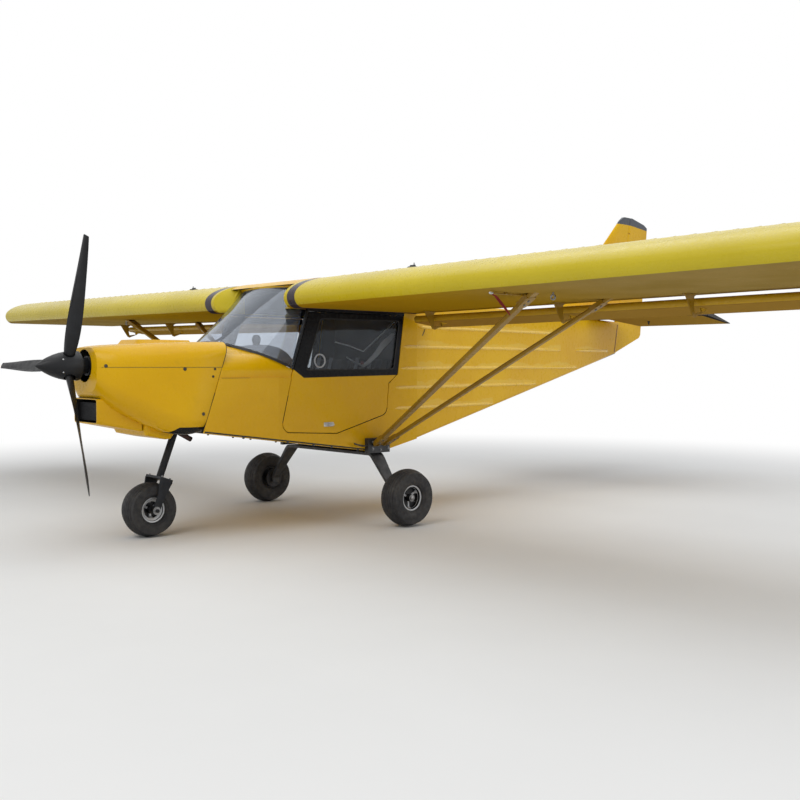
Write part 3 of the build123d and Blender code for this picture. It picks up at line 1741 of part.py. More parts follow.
seat_back_outline = (
    (65.0, 658.5),
    (214.3, 1178.6),
    (150.0, 1190.0),
    (-5.0, 680.0),
)
with BuildPart() as seat_backs:
    for sign in (1, -1):
        with BuildSketch(side(sign * seat_x - cushion_half)):
            with BuildLine():
                Polyline(*placed(seat_back_outline), close=True)
            make_face()
        extrude(amount=2 * cushion_half)
export(seat_backs, "seat_backs")

# Control stick between the seats
stick_aft = -380.0
stick_r = 14.0
stick_long = 420.0
stick_foot_z = belly_z(stick_aft - stick_r) + floor_thick + seat_gap
with BuildPart() as control_stick:
    with BuildSketch(Plane(origin=(0, at(stick_aft), stick_foot_z), z_dir=(0, 0, 1))):
        Circle(stick_r)
    extrude(amount=stick_long)
export(control_stick, "control_stick")
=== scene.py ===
"""Looks of a two-seat high-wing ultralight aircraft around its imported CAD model.

Metres, +X to port, +Y aft, +Z up. Stations are measured aft of the main axle.
"""

import math
import random

import bmesh
import bpy
from mathutils import Matrix, Vector
from mathutils.bvhtree import BVHTree


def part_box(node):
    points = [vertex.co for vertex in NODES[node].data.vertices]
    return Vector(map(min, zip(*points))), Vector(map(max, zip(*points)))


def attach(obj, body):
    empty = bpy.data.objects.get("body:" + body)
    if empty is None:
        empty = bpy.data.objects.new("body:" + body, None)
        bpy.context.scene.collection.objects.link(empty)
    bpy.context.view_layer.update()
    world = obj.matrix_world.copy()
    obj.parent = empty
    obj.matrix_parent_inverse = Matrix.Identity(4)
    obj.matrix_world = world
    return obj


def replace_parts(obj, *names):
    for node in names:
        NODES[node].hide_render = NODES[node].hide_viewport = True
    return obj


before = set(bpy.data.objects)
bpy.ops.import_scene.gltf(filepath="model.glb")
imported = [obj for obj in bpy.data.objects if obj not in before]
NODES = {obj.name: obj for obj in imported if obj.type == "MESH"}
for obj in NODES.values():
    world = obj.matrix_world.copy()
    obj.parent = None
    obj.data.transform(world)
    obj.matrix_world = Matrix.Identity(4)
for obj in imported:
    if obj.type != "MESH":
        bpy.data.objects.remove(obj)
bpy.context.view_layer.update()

SIDES = (("left", 1), ("right", -1))
X, Y, Z = Vector((1, 0, 0)), Vector((0, 1, 0)), Vector((0, 0, 1))

AXLE_Y = -0.945
CABIN_HALF, CABIN_END_AFT = 0.5, 0.43
BOOM_END_HALF, BOOM_END_AFT = 0.045, 3.76
BELLY_Z, BELLY_AFT = 0.496, 0.05
BODY_MIDDLE_Z = 1.05
WING_LOW_Z = 1.5193
WING_ROOT_X = 0.44
DIHEDRAL = math.radians(0.55)
NOSE_LEAN = math.radians(19.0)
STEER_LEAN = math.radians(21.0)
SCREEN_SLOPE = math.radians(24.8)
THRUST_Z = 1.129
SEAT_X = 0.235
MAIN_X, MAIN_R, MAIN_WIDE, MAIN_RIM = 0.8495, 0.202, 0.155, 0.088
NOSE_AFT, NOSE_R, NOSE_WIDE, NOSE_RIM = -1.544, 0.180, 0.164, 0.082


def at(aft):
    """Y of a station given aft of the main axle."""
    return AXLE_Y + aft


def point(x, aft, z):
    return Vector((x, at(aft), z))


def rise(x):
    """How far the dihedral has lifted the wing at distance x from the middle."""
    return (abs(x) - WING_ROOT_X) * math.tan(DIHEDRAL)


def lean_aft(z):
    """Station of the leaning cowling joint at height z."""
    return -1.27 + (z - 1.1) * math.tan(NOSE_LEAN)


def boom_half(aft):
    """Half width of the rear fuselage."""
    share = (aft - CABIN_END_AFT) * (BOOM_END_HALF - CABIN_HALF) / (BOOM_END_AFT - CABIN_END_AFT)
    return CABIN_HALF + share


def cosd(angle):
    return math.cos(math.radians(angle))


def sind(angle):
    return math.sin(math.radians(angle))


# Camera, fitted to the photograph's view
CAM_AT = Vector((5.883, -5.671, 1.148))
CAM_YAW, CAM_PITCH, CAM_ROLL = 47.218, -2.151, 0.055
FOCAL_PX = 983.411
FRAME_PX = 800
look = Vector((-sind(CAM_YAW) * cosd(CAM_PITCH), cosd(CAM_YAW) * cosd(CAM_PITCH), sind(CAM_PITCH)))
level_right = Vector((cosd(CAM_YAW), sind(CAM_YAW), 0))
level_up = level_right.cross(look)
cam_right = level_right * cosd(CAM_ROLL) + level_up * sind(CAM_ROLL)
cam_up = level_up * cosd(CAM_ROLL) - level_right * sind(CAM_ROLL)

cam_data = bpy.data.cameras.new("camera")
cam_data.sensor_width = 36.0
cam_data.lens = FOCAL_PX / FRAME_PX * cam_data.sensor_width
cam_data.clip_end = 300.0
camera = bpy.data.objects.new("camera", cam_data)
bpy.context.scene.collection.objects.link(camera)
turn = Matrix((cam_right, cam_up, -look)).transposed()
camera.matrix_world = Matrix.Translation(CAM_AT) @ turn.to_4x4()
bpy.context.scene.camera = camera


def pixel_ray(px, py):
    """Direction from the camera through a pixel of the photograph's frame."""
    half = FRAME_PX / 2
    return (look * FOCAL_PX + cam_right * (px - half) - cam_up * (py - half)).normalized()


# ---- materials


def rgb(r, g, b):
    """Linear colour from display values of 0 to 255."""
    def lin(c):
        c /= 255
        return c / 12.92 if c <= 0.04045 else ((c + 0.055) / 1.055) ** 2.4
    return (lin(r), lin(g), lin(b), 1.0)


class Graph:
    """Nodes of a material or of the world."""

    def __init__(self, tree):
        self.tree = tree

    def feed(self, value, socket):
        if isinstance(value, bpy.types.NodeSocket):
            self.tree.links.new(value, socket)
        else:
            socket.default_value = value

    def node(self, kind, *feeds, **values):
        """New node: lower-case names are its settings, capital ones and the feeds its sockets."""
        n = self.tree.nodes.new("ShaderNode" + kind)
        for key, value in values.items():
            if key[0].islower():
                setattr(n, key, value)
            else:
                self.feed(value, n.inputs[key.replace("_", " ")])
        for i, value in enumerate(feeds):
            self.feed(value, n.inputs[i])
        return n

    def math(self, op, a, b=0.0):
        return self.node("Math", a, b, operation=op).outputs[0]

    def times(self, first, *others):
        for other in others:
            first = self.math("MULTIPLY", first, other)
        return first

    def plus(self, a, b):
        return self.math("ADD", a, b)

    def minus(self, a, b):
        return self.math("SUBTRACT", a, b)

    def over(self, a, b):
        return self.math("GREATER_THAN", a, b)

    def under(self, a, b):
        return self.math("LESS_THAN", a, b)

    def size(self, a):
        return self.math("ABSOLUTE", a)

    def blend(self, factor, a, b):
        """One shader over another."""
        return self.node("MixShader", factor, a.outputs[0], b.outputs[0])

    def seen(self):
        """1 for rays that show the backdrop: the camera's and those of metal and glass."""
        rays = self.node("LightPath").outputs
        near = self.math("MAXIMUM", rays["Is Camera Ray"], rays["Is Glossy Ray"])
        return self.math("MAXIMUM", near, rays["Is Transmission Ray"])


class Shade(Graph):
    """A node material built up from object-space patterns."""

    def __init__(self, name):
        self.mat = bpy.data.materials.new(name)
        self.mat.use_nodes = True
        super().__init__(self.mat.node_tree)
        self.bsdf = self.tree.nodes["Principled BSDF"]
        self.out = self.tree.nodes["Material Output"].inputs["Surface"]
        self.coord = self.node("TexCoord")
        self.spot = self.coord.outputs["Object"]
        self.x, self.y, self.z = self.node("SeparateXYZ", self.spot).outputs
        self.bumps = None

    def normal(self, axis):
        return self.node("SeparateXYZ", self.coord.outputs["Normal"]).outputs[axis]

    def noise(self, scale, detail=3.0, rough=0.5, stretch=None):
        spot = self.node("Mapping", Scale=stretch, Vector=self.spot).outputs[0] if stretch else self.spot
        return self.node("TexNoise", Scale=scale, Detail=detail, Roughness=rough, Vector=spot).outputs["Fac"]

    def step(self, value, low, high, to_low=0.0, to_high=1.0):
        """Smooth change of value between low and high."""
        ends = {"From_Min": low, "From_Max": high, "To_Min": to_low, "To_Max": to_high}
        return self.node("MapRange", interpolation_type="SMOOTHSTEP", Value=value, **ends).outputs[0]

    def mix(self, factor, a, b):
        return self.node("Mix", data_type="RGBA", Factor=factor, A=a, B=b).outputs["Result"]

    def bump(self, height, strength, distance):
        n = self.node("Bump", Strength=strength, Distance=distance, Height=height)
        if self.bumps is not None:
            self.feed(self.bumps, n.inputs["Normal"])
        self.bumps = n.outputs[0]
        self.set(Normal=self.bumps)

    def set(self, **values):
        for key, value in values.items():
            self.feed(value, self.bsdf.inputs[key.replace("_", " ")])

    def inner_side(self):
        """1 on faces that look towards the body's middle line."""
        upright = self.times(self.normal(2), self.minus(self.z, BODY_MIDDLE_Z))
        return self.under(self.plus(self.times(self.normal(0), self.x), upright), -0.03)


PAINT_GLOSS, PAINT_COAT = 0.2, 0.08
FACING_DOWN = -0.75


def paint(name, colour, deep, wave=0.0012, wave_scale=2.2, inner=None, dust=0.18):
    """Gloss paint on sheet metal: patchy tone, streaky patches of dust, orange peel and oil-canning."""
    s = Shade(name)
    tone = s.mix(s.step(s.noise(1.3, 4.0), 0.35, 0.7), colour, deep)
    grime = s.noise(24.0, 5.0, 0.65)
    runs = s.noise(1.0, 3.0, 0.6, (9.0, 0.8, 9.0))
    dirt = s.times(s.step(grime, 0.5, 0.8), s.step(runs, 0.42, 0.72), dust)
    tone = s.mix(dirt, tone, rgb(132, 104, 40))
    if inner is not None:
        tone = s.mix(s.inner_side(), tone, inner)
    s.tone = tone
    s.set(Base_Color=tone, Roughness=s.step(grime, 0.3, 0.8, 0.24, 0.42))
    s.set(Specular_IOR_Level=PAINT_GLOSS, Coat_Weight=PAINT_COAT, Coat_Roughness=0.15)
    s.bump(s.noise(420.0, 2.0), 0.04, 0.0003)
    if wave:
        s.bump(s.noise(wave_scale, 2.0, 0.4), 0.5, wave * 6)
    return s


def shaded_underside(s, tone, share):
    """Painted shade: another, darker tone, without gloss, on the faces of a paint that look down."""
    below = s.under(s.normal(2), FACING_DOWN)
    s.tone = s.mix(s.times(below, share), s.tone, tone)
    above = s.minus(1.0, below)
    s.set(Coat_Weight=s.times(above, PAINT_COAT), Specular_IOR_Level=s.times(above, PAINT_GLOSS))


GOLD, GOLD_DEEP = rgb(233, 184, 10), rgb(224, 172, 6)
# The wings' greener, paler yellow is partly painted reflection: the greenish sheen of the grass on the wings
# is taken into their colour
LEMON, LEMON_DEEP = rgb(216, 195, 46), rgb(205, 184, 36)
CABIN_DARK, COWL_DARK = rgb(46, 46, 47), rgb(44, 42, 40)
CAP_GREY, CAP_DARK = rgb(84, 88, 96), rgb(50, 48, 47)
BLACK = rgb(14, 15, 18)

fuselage_paint = paint("fuselage_paint", GOLD, GOLD_DEEP, inner=CABIN_DARK)

# Beads on each side of the rear fuselage, with painted reflections of the sky: pale streaks in the paint above
# them
BEAD_ROWS = (  # height, first and last station
    (1.42, 0.46, 2.4), (1.27, 0.286, 2.55), (1.27, 2.811, 3.466),
    (1.11, 0.256, 2.844), (0.965, 0.206, 2.123), (0.812, 0.2, 1.446),
)
s = boom_paint = paint("boom_paint", GOLD, GOLD_DEEP, inner=CABIN_DARK)
# Painted reflection: a pale band of uneven height above each bead, on faces that look sideways
reach = s.step(s.noise(3.2, 3.0, 0.6, (1.0, 1.0, 0.2)), 0.35, 0.7, 0.008, 0.055)
sky_reflection_streaks = 0.0
for z, first, last in BEAD_ROWS:
    height = s.minus(s.z, z + 0.008)
    along = s.times(s.over(s.y, at(max(first, CABIN_END_AFT))), s.under(s.y, at(last)))
    sky_reflection_streaks = s.plus(sky_reflection_streaks, s.times(s.under(height, reach), s.over(height, 0.0), along))
sky_reflection_streaks = s.times(sky_reflection_streaks, s.over(s.size(s.normal(0)), 0.7), 0.4)
sky_reflected_tone = s.mix(sky_reflection_streaks, s.tone, rgb(240, 206, 96))
s.set(Base_Color=s.mix(s.inner_side(), sky_reflected_tone, CABIN_DARK))

# Black above the door and on the pillar behind the windscreen
PILLAR_SLOPE = 0.342
s = side_paint = paint("side_paint", GOLD, GOLD_DEEP, inner=CABIN_DARK)
over_door = s.times(s.over(s.z, 1.4965), s.under(s.y, at(0.297)))
pillar_line = s.plus(s.y, s.times(s.z, -PILLAR_SLOPE))
pillar = s.times(s.under(pillar_line, at(-0.70) - 1.102 * PILLAR_SLOPE), s.over(s.z, 1.1005))
s.set(Base_Color=s.mix(s.math("MAXIMUM", over_door, pillar), s.tone, BLACK))

# Painted shade: black where the cowling's outlet opens, low on each side, for the dark inside of the opening
s = cowl_paint = paint("cowl_paint", GOLD, GOLD_DEEP, wave=0.0, inner=COWL_DARK)
behind = s.over(s.minus(s.y, s.z), at(-1.60) - 0.69)
mouth = s.times(s.under(s.z, 0.741), behind, s.over(s.size(s.x), 0.2315))
s.set(Base_Color=s.mix(mouth, s.tone, BLACK))

s = wing_paint = paint("wing_paint", LEMON, LEMON_DEEP, wave=0.0009, wave_scale=1.6, dust=0.07)
# Underside: partly a khaki tone, partly painted shade: darker gold near the root, a darkened khaki further out
outer = s.mix(s.step(s.noise(2.4, 5.0), 0.3, 0.7), rgb(148, 122, 70), rgb(162, 136, 86))
shaded_underside(s, s.mix(s.step(s.size(s.x), 1.5, 3.2), rgb(166, 126, 22), outer), 0.92)
band = s.times(s.over(s.size(s.x), 0.475), s.under(s.size(s.x), 0.56))
s.set(Base_Color=s.mix(band, s.tone, rgb(62, 54, 62)))

# Painted shade: the flaperons get a darker, browner copy of the yellow paint, and a darker brown on their
# undersides
s = flap_shaded_paint = paint("flaperon_shaded_paint", rgb(206, 166, 42), rgb(194, 154, 36), wave=0.0, dust=0.07)
shaded_underside(s, rgb(146, 112, 60), 0.75)
s.set(Base_Color=s.tone)


def capped(name, tip=None):
    """Tail paint with dark tip caps: a flat surface's tip is its line's slope, station and x."""
    s = paint(name, GOLD, GOLD_DEEP, wave=0.0004, dust=0.1)
    if tip:
        slope, start, first = tip
        line = s.minus(s.size(s.x), s.times(s.minus(s.y, at(start)), slope))
        # Painted shade: the undersides of the stabiliser and elevator turn golden brown
        shaded_underside(s, rgb(150, 118, 56), 0.9)
    else:
        first = 2.565
        line = s.plus(s.z, s.times(s.math("MAXIMUM", s.minus(s.y, at(3.93)), 0.0), 0.0864))
    mask = s.step(line, first - 0.0005, first + 0.0005)
    s.set(Base_Color=s.mix(mask, s.tone, CAP_DARK if tip else CAP_GREY))
    return s


def metal(name, colour, worn, rough=(0.3, 0.5), metallic=1.0, grain=60.0, bump=0.15):
    """Machined or painted metal with smudges and fine scratches."""
    s = Shade(name)
    smudge = s.step(s.noise(14.0, 5.0, 0.6), 0.35, 0.7)
    scratch = s.noise(grain, 3.0, 0.7, (1.0, 6.0, 1.0))
    s.set(Base_Color=s.mix(smudge, colour, worn), Metallic=metallic)
    s.set(Roughness=s.step(scratch, 0.3, 0.75, *rough))
    s.bump(scratch, bump, 0.0006)
    return s


def plastic(name, colour, light, rough=(0.45, 0.6), grain=300.0, bump=0.2):
    """Moulded or coated surface with a fine grain and faint dust."""
    s = Shade(name)
    dust = s.step(s.noise(9.0, 5.0, 0.65), 0.45, 0.8)
    s.set(Base_Color=s.mix(dust, colour, light), Roughness=s.step(s.noise(30.0, 4.0), 0.3, 0.7, *rough))
    s.bump(s.noise(grain, 2.0), bump, 0.0005)
    return s


def glazing(name, tint, haze, body, mirror):
    """Tinted sheet that lets the cabin be seen, with a mirror gloss and a little haze."""
    s = Shade(name)
    clear = s.node("BsdfTransparent", Color=tint)
    gloss = s.node("BsdfGlossy", Roughness=0.04, Color=rgb(235, 240, 245))
    facing = s.node("LayerWeight", Blend=0.5).outputs["Facing"]
    reflected = s.plus(s.times(s.math("POWER", facing, 5.0), 0.9), mirror)
    scratches = s.noise(3.0, 6.0, 0.7, (5.0, 1.0, 1.6))
    film = s.node("BsdfDiffuse", Color=s.mix(s.step(scratches, 0.3, 0.7), haze, rgb(150, 156, 166)))
    sheet = s.blend(s.step(scratches, 0.25, 0.8, body * 0.5, body * 1.6), clear, film)
    s.feed(s.blend(reflected, sheet, gloss).outputs[0], s.out)
    s.tree.nodes.remove(s.bsdf)
    return s


def cloth(name, colour, light, scale=520.0):
    """Woven fabric: crossing threads, lint and a soft sheen."""
    s = Shade(name)
    weave = {"Scale": scale, "Distortion": 0.6, "Vector": s.spot}
    threads = [s.node("TexWave", bands_direction=way, **weave).outputs["Fac"] for way in ("X", "Y")]
    lint = s.step(s.noise(16.0, 5.0, 0.7), 0.4, 0.8)
    s.set(Base_Color=s.mix(lint, colour, light), Roughness=s.step(lint, 0.0, 1.0, 0.8, 0.95))
    s.set(Sheen_Weight=0.25, Sheen_Roughness=0.5)
    s.bump(s.times(*threads), 0.35, 0.0012)
    return s


black_steel = metal("black_steel", rgb(42, 43, 45), rgb(66, 66, 68), (0.35, 0.55), 0.35)
leg_black = metal("leg_black", rgb(27, 29, 33), rgb(44, 46, 50), (0.45, 0.6), 0.1)
leg_black.set(Specular_IOR_Level=0.25)
steel = metal("bare_steel", rgb(150, 150, 150), rgb(112, 112, 114), (0.25, 0.5))
wheel_silver = metal("wheel_silver", rgb(204, 206, 208), rgb(172, 174, 177), (0.35, 0.5), 0.35)
wheel_dark = metal("wheel_dark", rgb(36, 37, 39), rgb(60, 60, 62), (0.45, 0.6), 0.5)
engine_metal = metal("engine_metal", rgb(82, 82, 84), rgb(52, 52, 54), (0.5, 0.7), 0.7, 120.0, 0.4)
exhaust_metal = metal("exhaust_metal", rgb(74, 52, 48), rgb(42, 34, 34), (0.5, 0.75), 0.6, 90.0, 0.4)
frame_gloss = plastic("frame_gloss", BLACK, rgb(24, 26, 30), (0.2, 0.34), 260.0, 0.05)
frame_gloss.set(Specular_IOR_Level=0.12)
panel_grey = plastic("panel_grey", rgb(46, 48, 51), rgb(64, 66, 69))
prop_black = plastic("prop_black", rgb(20, 21, 24), rgb(32, 34, 38), (0.36, 0.5), 500.0, 0.1)
prop_black.set(Specular_IOR_Level=0.3)
seal_rubber = plastic("seal_rubber", rgb(20, 20, 21), rgb(44, 42, 40), (0.55, 0.75))
# Painted shade: struts, their sleeves, the flaperon brackets, gussets and probe get a darker copy of the gold
# paint
shaded_gold_paint = paint("shaded_gold_paint", rgb(160, 124, 26), rgb(136, 102, 24), wave=0.0)
fin_core = metal("radiator_fins", rgb(26, 27, 29), rgb(42, 43, 46), (0.5, 0.7), 0.5)
fin_core.bump(fin_core.node("TexWave", Scale=90.0, Vector=fin_core.spot).outputs["Fac"], 0.6, 0.002)

seat_cloth = cloth("seat_cloth", rgb(48, 49, 52), rgb(66, 67, 70))

s = rubber = Shade("tyre_rubber")
dusty = s.step(s.noise(7.0, 5.0, 0.65), 0.4, 0.75)
s.set(Base_Color=s.mix(dusty, rgb(36, 36, 38), rgb(62, 60, 58)))
s.set(Roughness=s.step(s.noise(40.0, 4.0), 0.3, 0.7, 0.62, 0.85))
s.bump(s.noise(380.0, 3.0), 0.3, 0.0008)

for shade, names in (
    (side_paint, "side_wall_left side_wall_right"),
    (fuselage_paint, "top_deck belly_pan cabin_roof door_left door_right"),
    (boom_paint, "rear_fuselage"),
    (cowl_paint, "upper_cowl lower_cowl"),
    (wing_paint, "wing_left wing_right"),
    (flap_shaded_paint, "flaperon_left flaperon_right"),
    (capped("tail_upright_paint"), "fin rudder"),
    (capped("stabiliser_paint", (0.35, 3.12, 1.0)), "stabiliser"),
    (capped("elevator_paint", (0.1, 3.47, 1.12)), "elevator"),
    (shaded_gold_paint, "front_strut_left front_strut_right rear_strut_left rear_strut_right flaperon_brackets"),
    (glazing("screen_glass", rgb(240, 243, 248), rgb(184, 192, 206), 0.1, 0.065), "windscreen"),
    (glazing("door_pane", rgb(226, 229, 232), rgb(104, 108, 112), 0.05, 0.02),
     "door_glass_left door_glass_right"),
    (frame_gloss, "window_frame_left window_frame_right"),
    (black_steel, "gear_bow strut_brackets control_stick"),
    (leg_black, "nose_leg nose_fork"),
    (wheel_dark, "main_left_rim main_right_rim nose_rim brake_calipers"),
    (steel, "main_axles firewall engine_mount tie_down_rings"),
    (engine_metal, "engine"),
    (exhaust_metal, "exhaust"),
    (fin_core, "radiator"),
    (panel_grey, "instrument_panel rear_bulkhead seat_shells"),
    (prop_black, "spinner propeller"),
    (rubber, "main_left_tyre main_right_tyre nose_tyre"),
    (seat_cloth, "seat_cushions seat_backs"),
):
    for name in names.split():
        node = NODES[name]
        if not node.material_slots:
            node.data.materials.append(shade.mat)
        for slot in node.material_slots:
            slot.material = shade.mat


# ---- building helpers


def frame_of(direction):
    """Two unit vectors across a direction."""
    d = Vector(direction).normalized()
    a = d.cross(Z)
    if a.length < 0.2:
        a = d.cross(Y)
    a.normalize()
    return a, d.cross(a).normalized()


def circle(centre, a, b, radius, steps):
    turns = [2 * math.pi * i / steps for i in range(steps)]
    return [centre + (a * math.cos(t) + b * math.sin(t)) * radius for t in turns]


def run_at(path, i):
    """From the point before to the point after place i of a path."""
    return path[min(i + 1, len(path) - 1)] - path[max(i - 1, 0)]


def curve_points(points, count):
    """Smooth run through points."""
    pts = [Vector(p) for p in points]
    spans = len(pts) - 1
    found = []
    for i in range(count + 1):
        t = i / count * spans
        k = min(int(t), spans - 1)
        u = t - k
        p0, p1, p2, p3 = pts[max(k - 1, 0)], pts[k], pts[k + 1], pts[min(k + 2, spans)]
        square, cube = 2 * p0 - 5 * p1 + 4 * p2 - p3, 3 * p1 - p0 - 3 * p2 + p3
        found.append(0.5 * (2 * p1 + (p2 - p0) * u + square * u * u + cube * u ** 3))
    return found


class Heap:
    """Vertices and faces gathered for one piece."""

    def __init__(self):
        self.verts, self.faces = [], []

    def loops(self, rings, ends=True):
        """Skin over rings of equal length."""
        n, base = len(rings[0]), len(self.verts)
        self.verts += [Vector(v) for ring in rings for v in ring]
        for low in range(base, base + (len(rings) - 1) * n, n):
            for i in range(n):
                j = (i + 1) % n
                self.faces.append((low + i, low + j, low + n + j, low + n + i))
        if ends:
            self.faces.append(tuple(range(base, base + n)))
            self.faces.append(tuple(reversed(range(len(self.verts) - n, len(self.verts)))))

    def lathe(self, origin, axis, profile, steps, ends=True):
        """Turned form from a profile of (distance along the axis, radius)."""
        a, b = frame_of(axis)
        axis = Vector(axis).normalized()
        self.loops([circle(Vector(origin) + axis * d, a, b, r, steps) for d, r in profile], ends)

    def tube(self, path, radius, steps=8):
        self.loops([circle(p, *frame_of(run_at(path, i)), radius, steps) for i, p in enumerate(path)])

    def stud(self, spot, radius, height, steps=8):
        """Low domed head on a surface."""
        p, n = spot
        a, b = frame_of(n)
        dome = ((1.0, -0.25), (1.0, 0.35), (0.6, 0.85))
        self.loops([circle(p + n * height * lift, a, b, radius * share, steps) for share, lift in dome])

    def bolt(self, p, n, radius, height):
        """Hexagon head on a washer."""
        foot = height * 0.25
        self.lathe(p, n, ((-0.0002, radius * 1.5), (foot, radius * 1.5)), 14)
        self.lathe(p, n, ((foot, radius), (height * 0.9, radius), (height, radius * 0.86)), 6)

    def ribbon(self, spots, width, thick, sink=0.0002):
        """Flat strip laid on surface points, with its own thickness."""
        path = [p for p, _ in spots]
        rings = []
        for i, (p, n) in enumerate(spots):
            run = run_at(path, i)
            if run.length < 1e-7:
                continue
            a = run.normalized().cross(n).normalized() * width / 2
            rings.append([p - a - n * sink, p + a - n * sink, p + a + n * thick, p - a + n * thick])
        if len(rings) > 1:
            self.loops(rings)

    def side_ribbon(self, tree, sign, points, width, thick):
        """Strip along a polyline in side view."""
        spots = [from_side(tree, sign, a, z) for a, z in side_path(points)]
        self.ribbon([s for s in spots if s], width, thick)

    def block(self, centre, size, edge=0.002):
        """Box with bevelled edges."""
        sx, sy, sz = (s / 2 for s in size)
        e = min(edge, sx * 0.45, sy * 0.45, sz * 0.45)
        outline = [(-sx + e, -sy), (sx - e, -sy), (sx, -sy + e), (sx, sy - e)]
        outline += [(sx - e, sy), (-sx + e, sy), (-sx, sy - e), (-sx, -sy + e)]
        rings = []
        for z, share in ((-sz, e), (-sz + e, 0.0), (sz - e, 0.0), (sz, e)):
            inset = [(x - math.copysign(share, x), y - math.copysign(share, y), z) for x, y in outline]
            rings.append([Vector(centre) + Vector(v) for v in inset])
        self.loops(rings)

    def make(self, name, shade, body="airframe", smooth=True):
        """The gathered mesh as a piece that rides on a body."""
        mesh = bpy.data.meshes.new(name)
        mesh.from_pydata([tuple(v) for v in self.verts], [], self.faces)
        mesh.validate()
        bm = bmesh.new()
        bm.from_mesh(mesh)
        bmesh.ops.recalc_face_normals(bm, faces=bm.faces)
        bm.to_mesh(mesh)
        bm.free()
        for poly in mesh.polygons:
            poly.use_smooth = smooth
        mesh.materials.append(shade.mat)
        obj = bpy.data.objects.new(name, mesh)
        bpy.context.scene.collection.objects.link(obj)
        if smooth:
            mesh.set_sharp_from_angle(angle=math.radians(40))
        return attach(obj, body)


def tree_of(*names):
    verts, faces = [], []
    for name in names:
        base = len(verts)
        mesh = NODES[name].data
        verts += [v.co.copy() for v in mesh.vertices]
        faces += [[base + i for i in p.vertices] for p in mesh.polygons]
    return BVHTree.FromPolygons(verts, faces)


def cast(tree, origin, direction):
    """Point and outward normal where a ray meets the surface, or None."""
    hit, normal, _, _ = tree.ray_cast(Vector(origin), Vector(direction).normalized())
    if hit is None:
        return None
    return hit, -normal if normal.dot(Vector(direction)) > 0 else normal


def from_side(tree, sign, aft, z):
    return cast(tree, point(sign * 3.0, aft, z), X * -sign)


def from_above(tree, sign, x, aft, height=4.0):
    return cast(tree, point(sign * x, aft, height), -Z)


def from_below(tree, sign, x, aft):
    return cast(tree, point(sign * x, aft, 0.01), Z)


def from_around(tree, middle, up, reach, most, shift=0.0):
    """Spots met from outside, in steps of two degrees, with the way out; rays start further forward."""
    ahead = Y * shift
    for i in range(-most, most + 1):
        away = X * sind(i * 2.0) + up * cosd(i * 2.0)
        hit = cast(tree, middle + away * reach - ahead, -away)
        if hit:
            yield hit[0] + ahead, hit[1], away


def side_path(points, gap=0.02):
    """Points along a side-view polyline, closely spaced."""
    found = []
    for (a0, z0), (a1, z1) in zip(points, points[1:]):
        count = max(1, int(math.hypot(a1 - a0, z1 - z0) / gap))
        found += [(a0 + (a1 - a0) * i / count, z0 + (z1 - z0) * i / count) for i in range(count)]
    return found + [points[-1]]


cowl_tree = tree_of("upper_cowl", "lower_cowl")
sheet_tree = tree_of("side_wall_left", "side_wall_right", "top_deck", "upper_cowl", "lower_cowl", "cabin_roof")
boom_tree, stab_tree, screen_tree, roof_tree = (
    tree_of(name) for name in ("rear_fuselage", "stabiliser", "windscreen", "cabin_roof")
)
wing_trees = {sign: tree_of(f"wing_{side}") for side, sign in SIDES}

# Panel joints: cowling split, cowling rear edge
joint_lines = Heap()
for _, sign in SIDES:
    split = [(-1.965, 1.12), (lean_aft(1.12) - 0.004, 1.12)]
    joint_lines.side_ribbon(cowl_tree, sign, split, 0.0028, 0.0004)
    joint_lines.side_ribbon(sheet_tree, sign, [(lean_aft(1.09), 1.05), (-1.065, 1.05)], 0.0022, 0.0004)
lean_up = Vector((0, math.sin(NOSE_LEAN), math.cos(NOSE_LEAN)))
seam = from_around(sheet_tree, point(0, lean_aft(0.99), 0.99), lean_up, 2.0, 62, 0.004)
joint_lines.ribbon([(p, n) for p, n, _ in seam], 0.004, 0.0007)
joint_lines.make("panel_joints", seal_rubber)

# Quarter-turn fasteners on the cowling, placed as the camera sees them; the dark cups round them are painted
# shade of their recesses
fasteners, cup_shade = Heap(), Heap()
for px, py, r in (
    (106, 366, 0.0075), (185, 369, 0.0075), (215, 369, 0.0055), (213.2, 376.5, 0.0055), (203.5, 414, 0.0075),
):
    hit = cast(sheet_tree, CAM_AT, pixel_ray(px, py))
    for _, sign in SIDES:
        p, n = (Vector((v.x * sign, v.y, v.z)) for v in hit)
        cup_shade.lathe(p, n, ((-0.001, r * 1.5), (0.0012, r * 1.5), (0.0016, r * 1.2), (0.0006, r * 1.1)), 18)
        fasteners.lathe(p, n, ((0.0, r), (0.0022, r), (0.003, r * 0.7), (0.002, r * 0.3)), 14)
cup_shade.make("fastener_cup_shade", seal_rubber)
fasteners.make("fastener_heads", black_steel)

# Seal along the foot of the windscreen, on the sloping deck line
deck_seal = Heap()
screen_normal = Vector((0, math.sin(SCREEN_SLOPE), math.cos(SCREEN_SLOPE)))
screen_fore = -Vector((0, math.cos(SCREEN_SLOPE), -math.sin(SCREEN_SLOPE)))
middle = point(0, -0.80, 1.285 - 0.32 * math.tan(SCREEN_SLOPE)) + screen_normal * 0.006
foot = from_around(screen_tree, middle, screen_fore, 1.5, 52)
deck_seal.ribbon([(p, n) for p, n, away in foot if (p - middle).dot(away) > 0.1], 0.016, 0.0022)
deck_seal.make("screen_seal", seal_rubber)

rivets = Heap()


def rivet_row(how, tree, sign, start, end, gap):
    """Rivets from start to end in the caster's two coordinates."""
    count = max(1, int(math.dist(start, end) / gap))
    for i in range(count + 1):
        spot = how(tree, sign, *(a + (b - a) * (i / count) for a, b in zip(start, end)))
        if spot:
            rivets.stud(spot, 0.0021, 0.0006, 6)


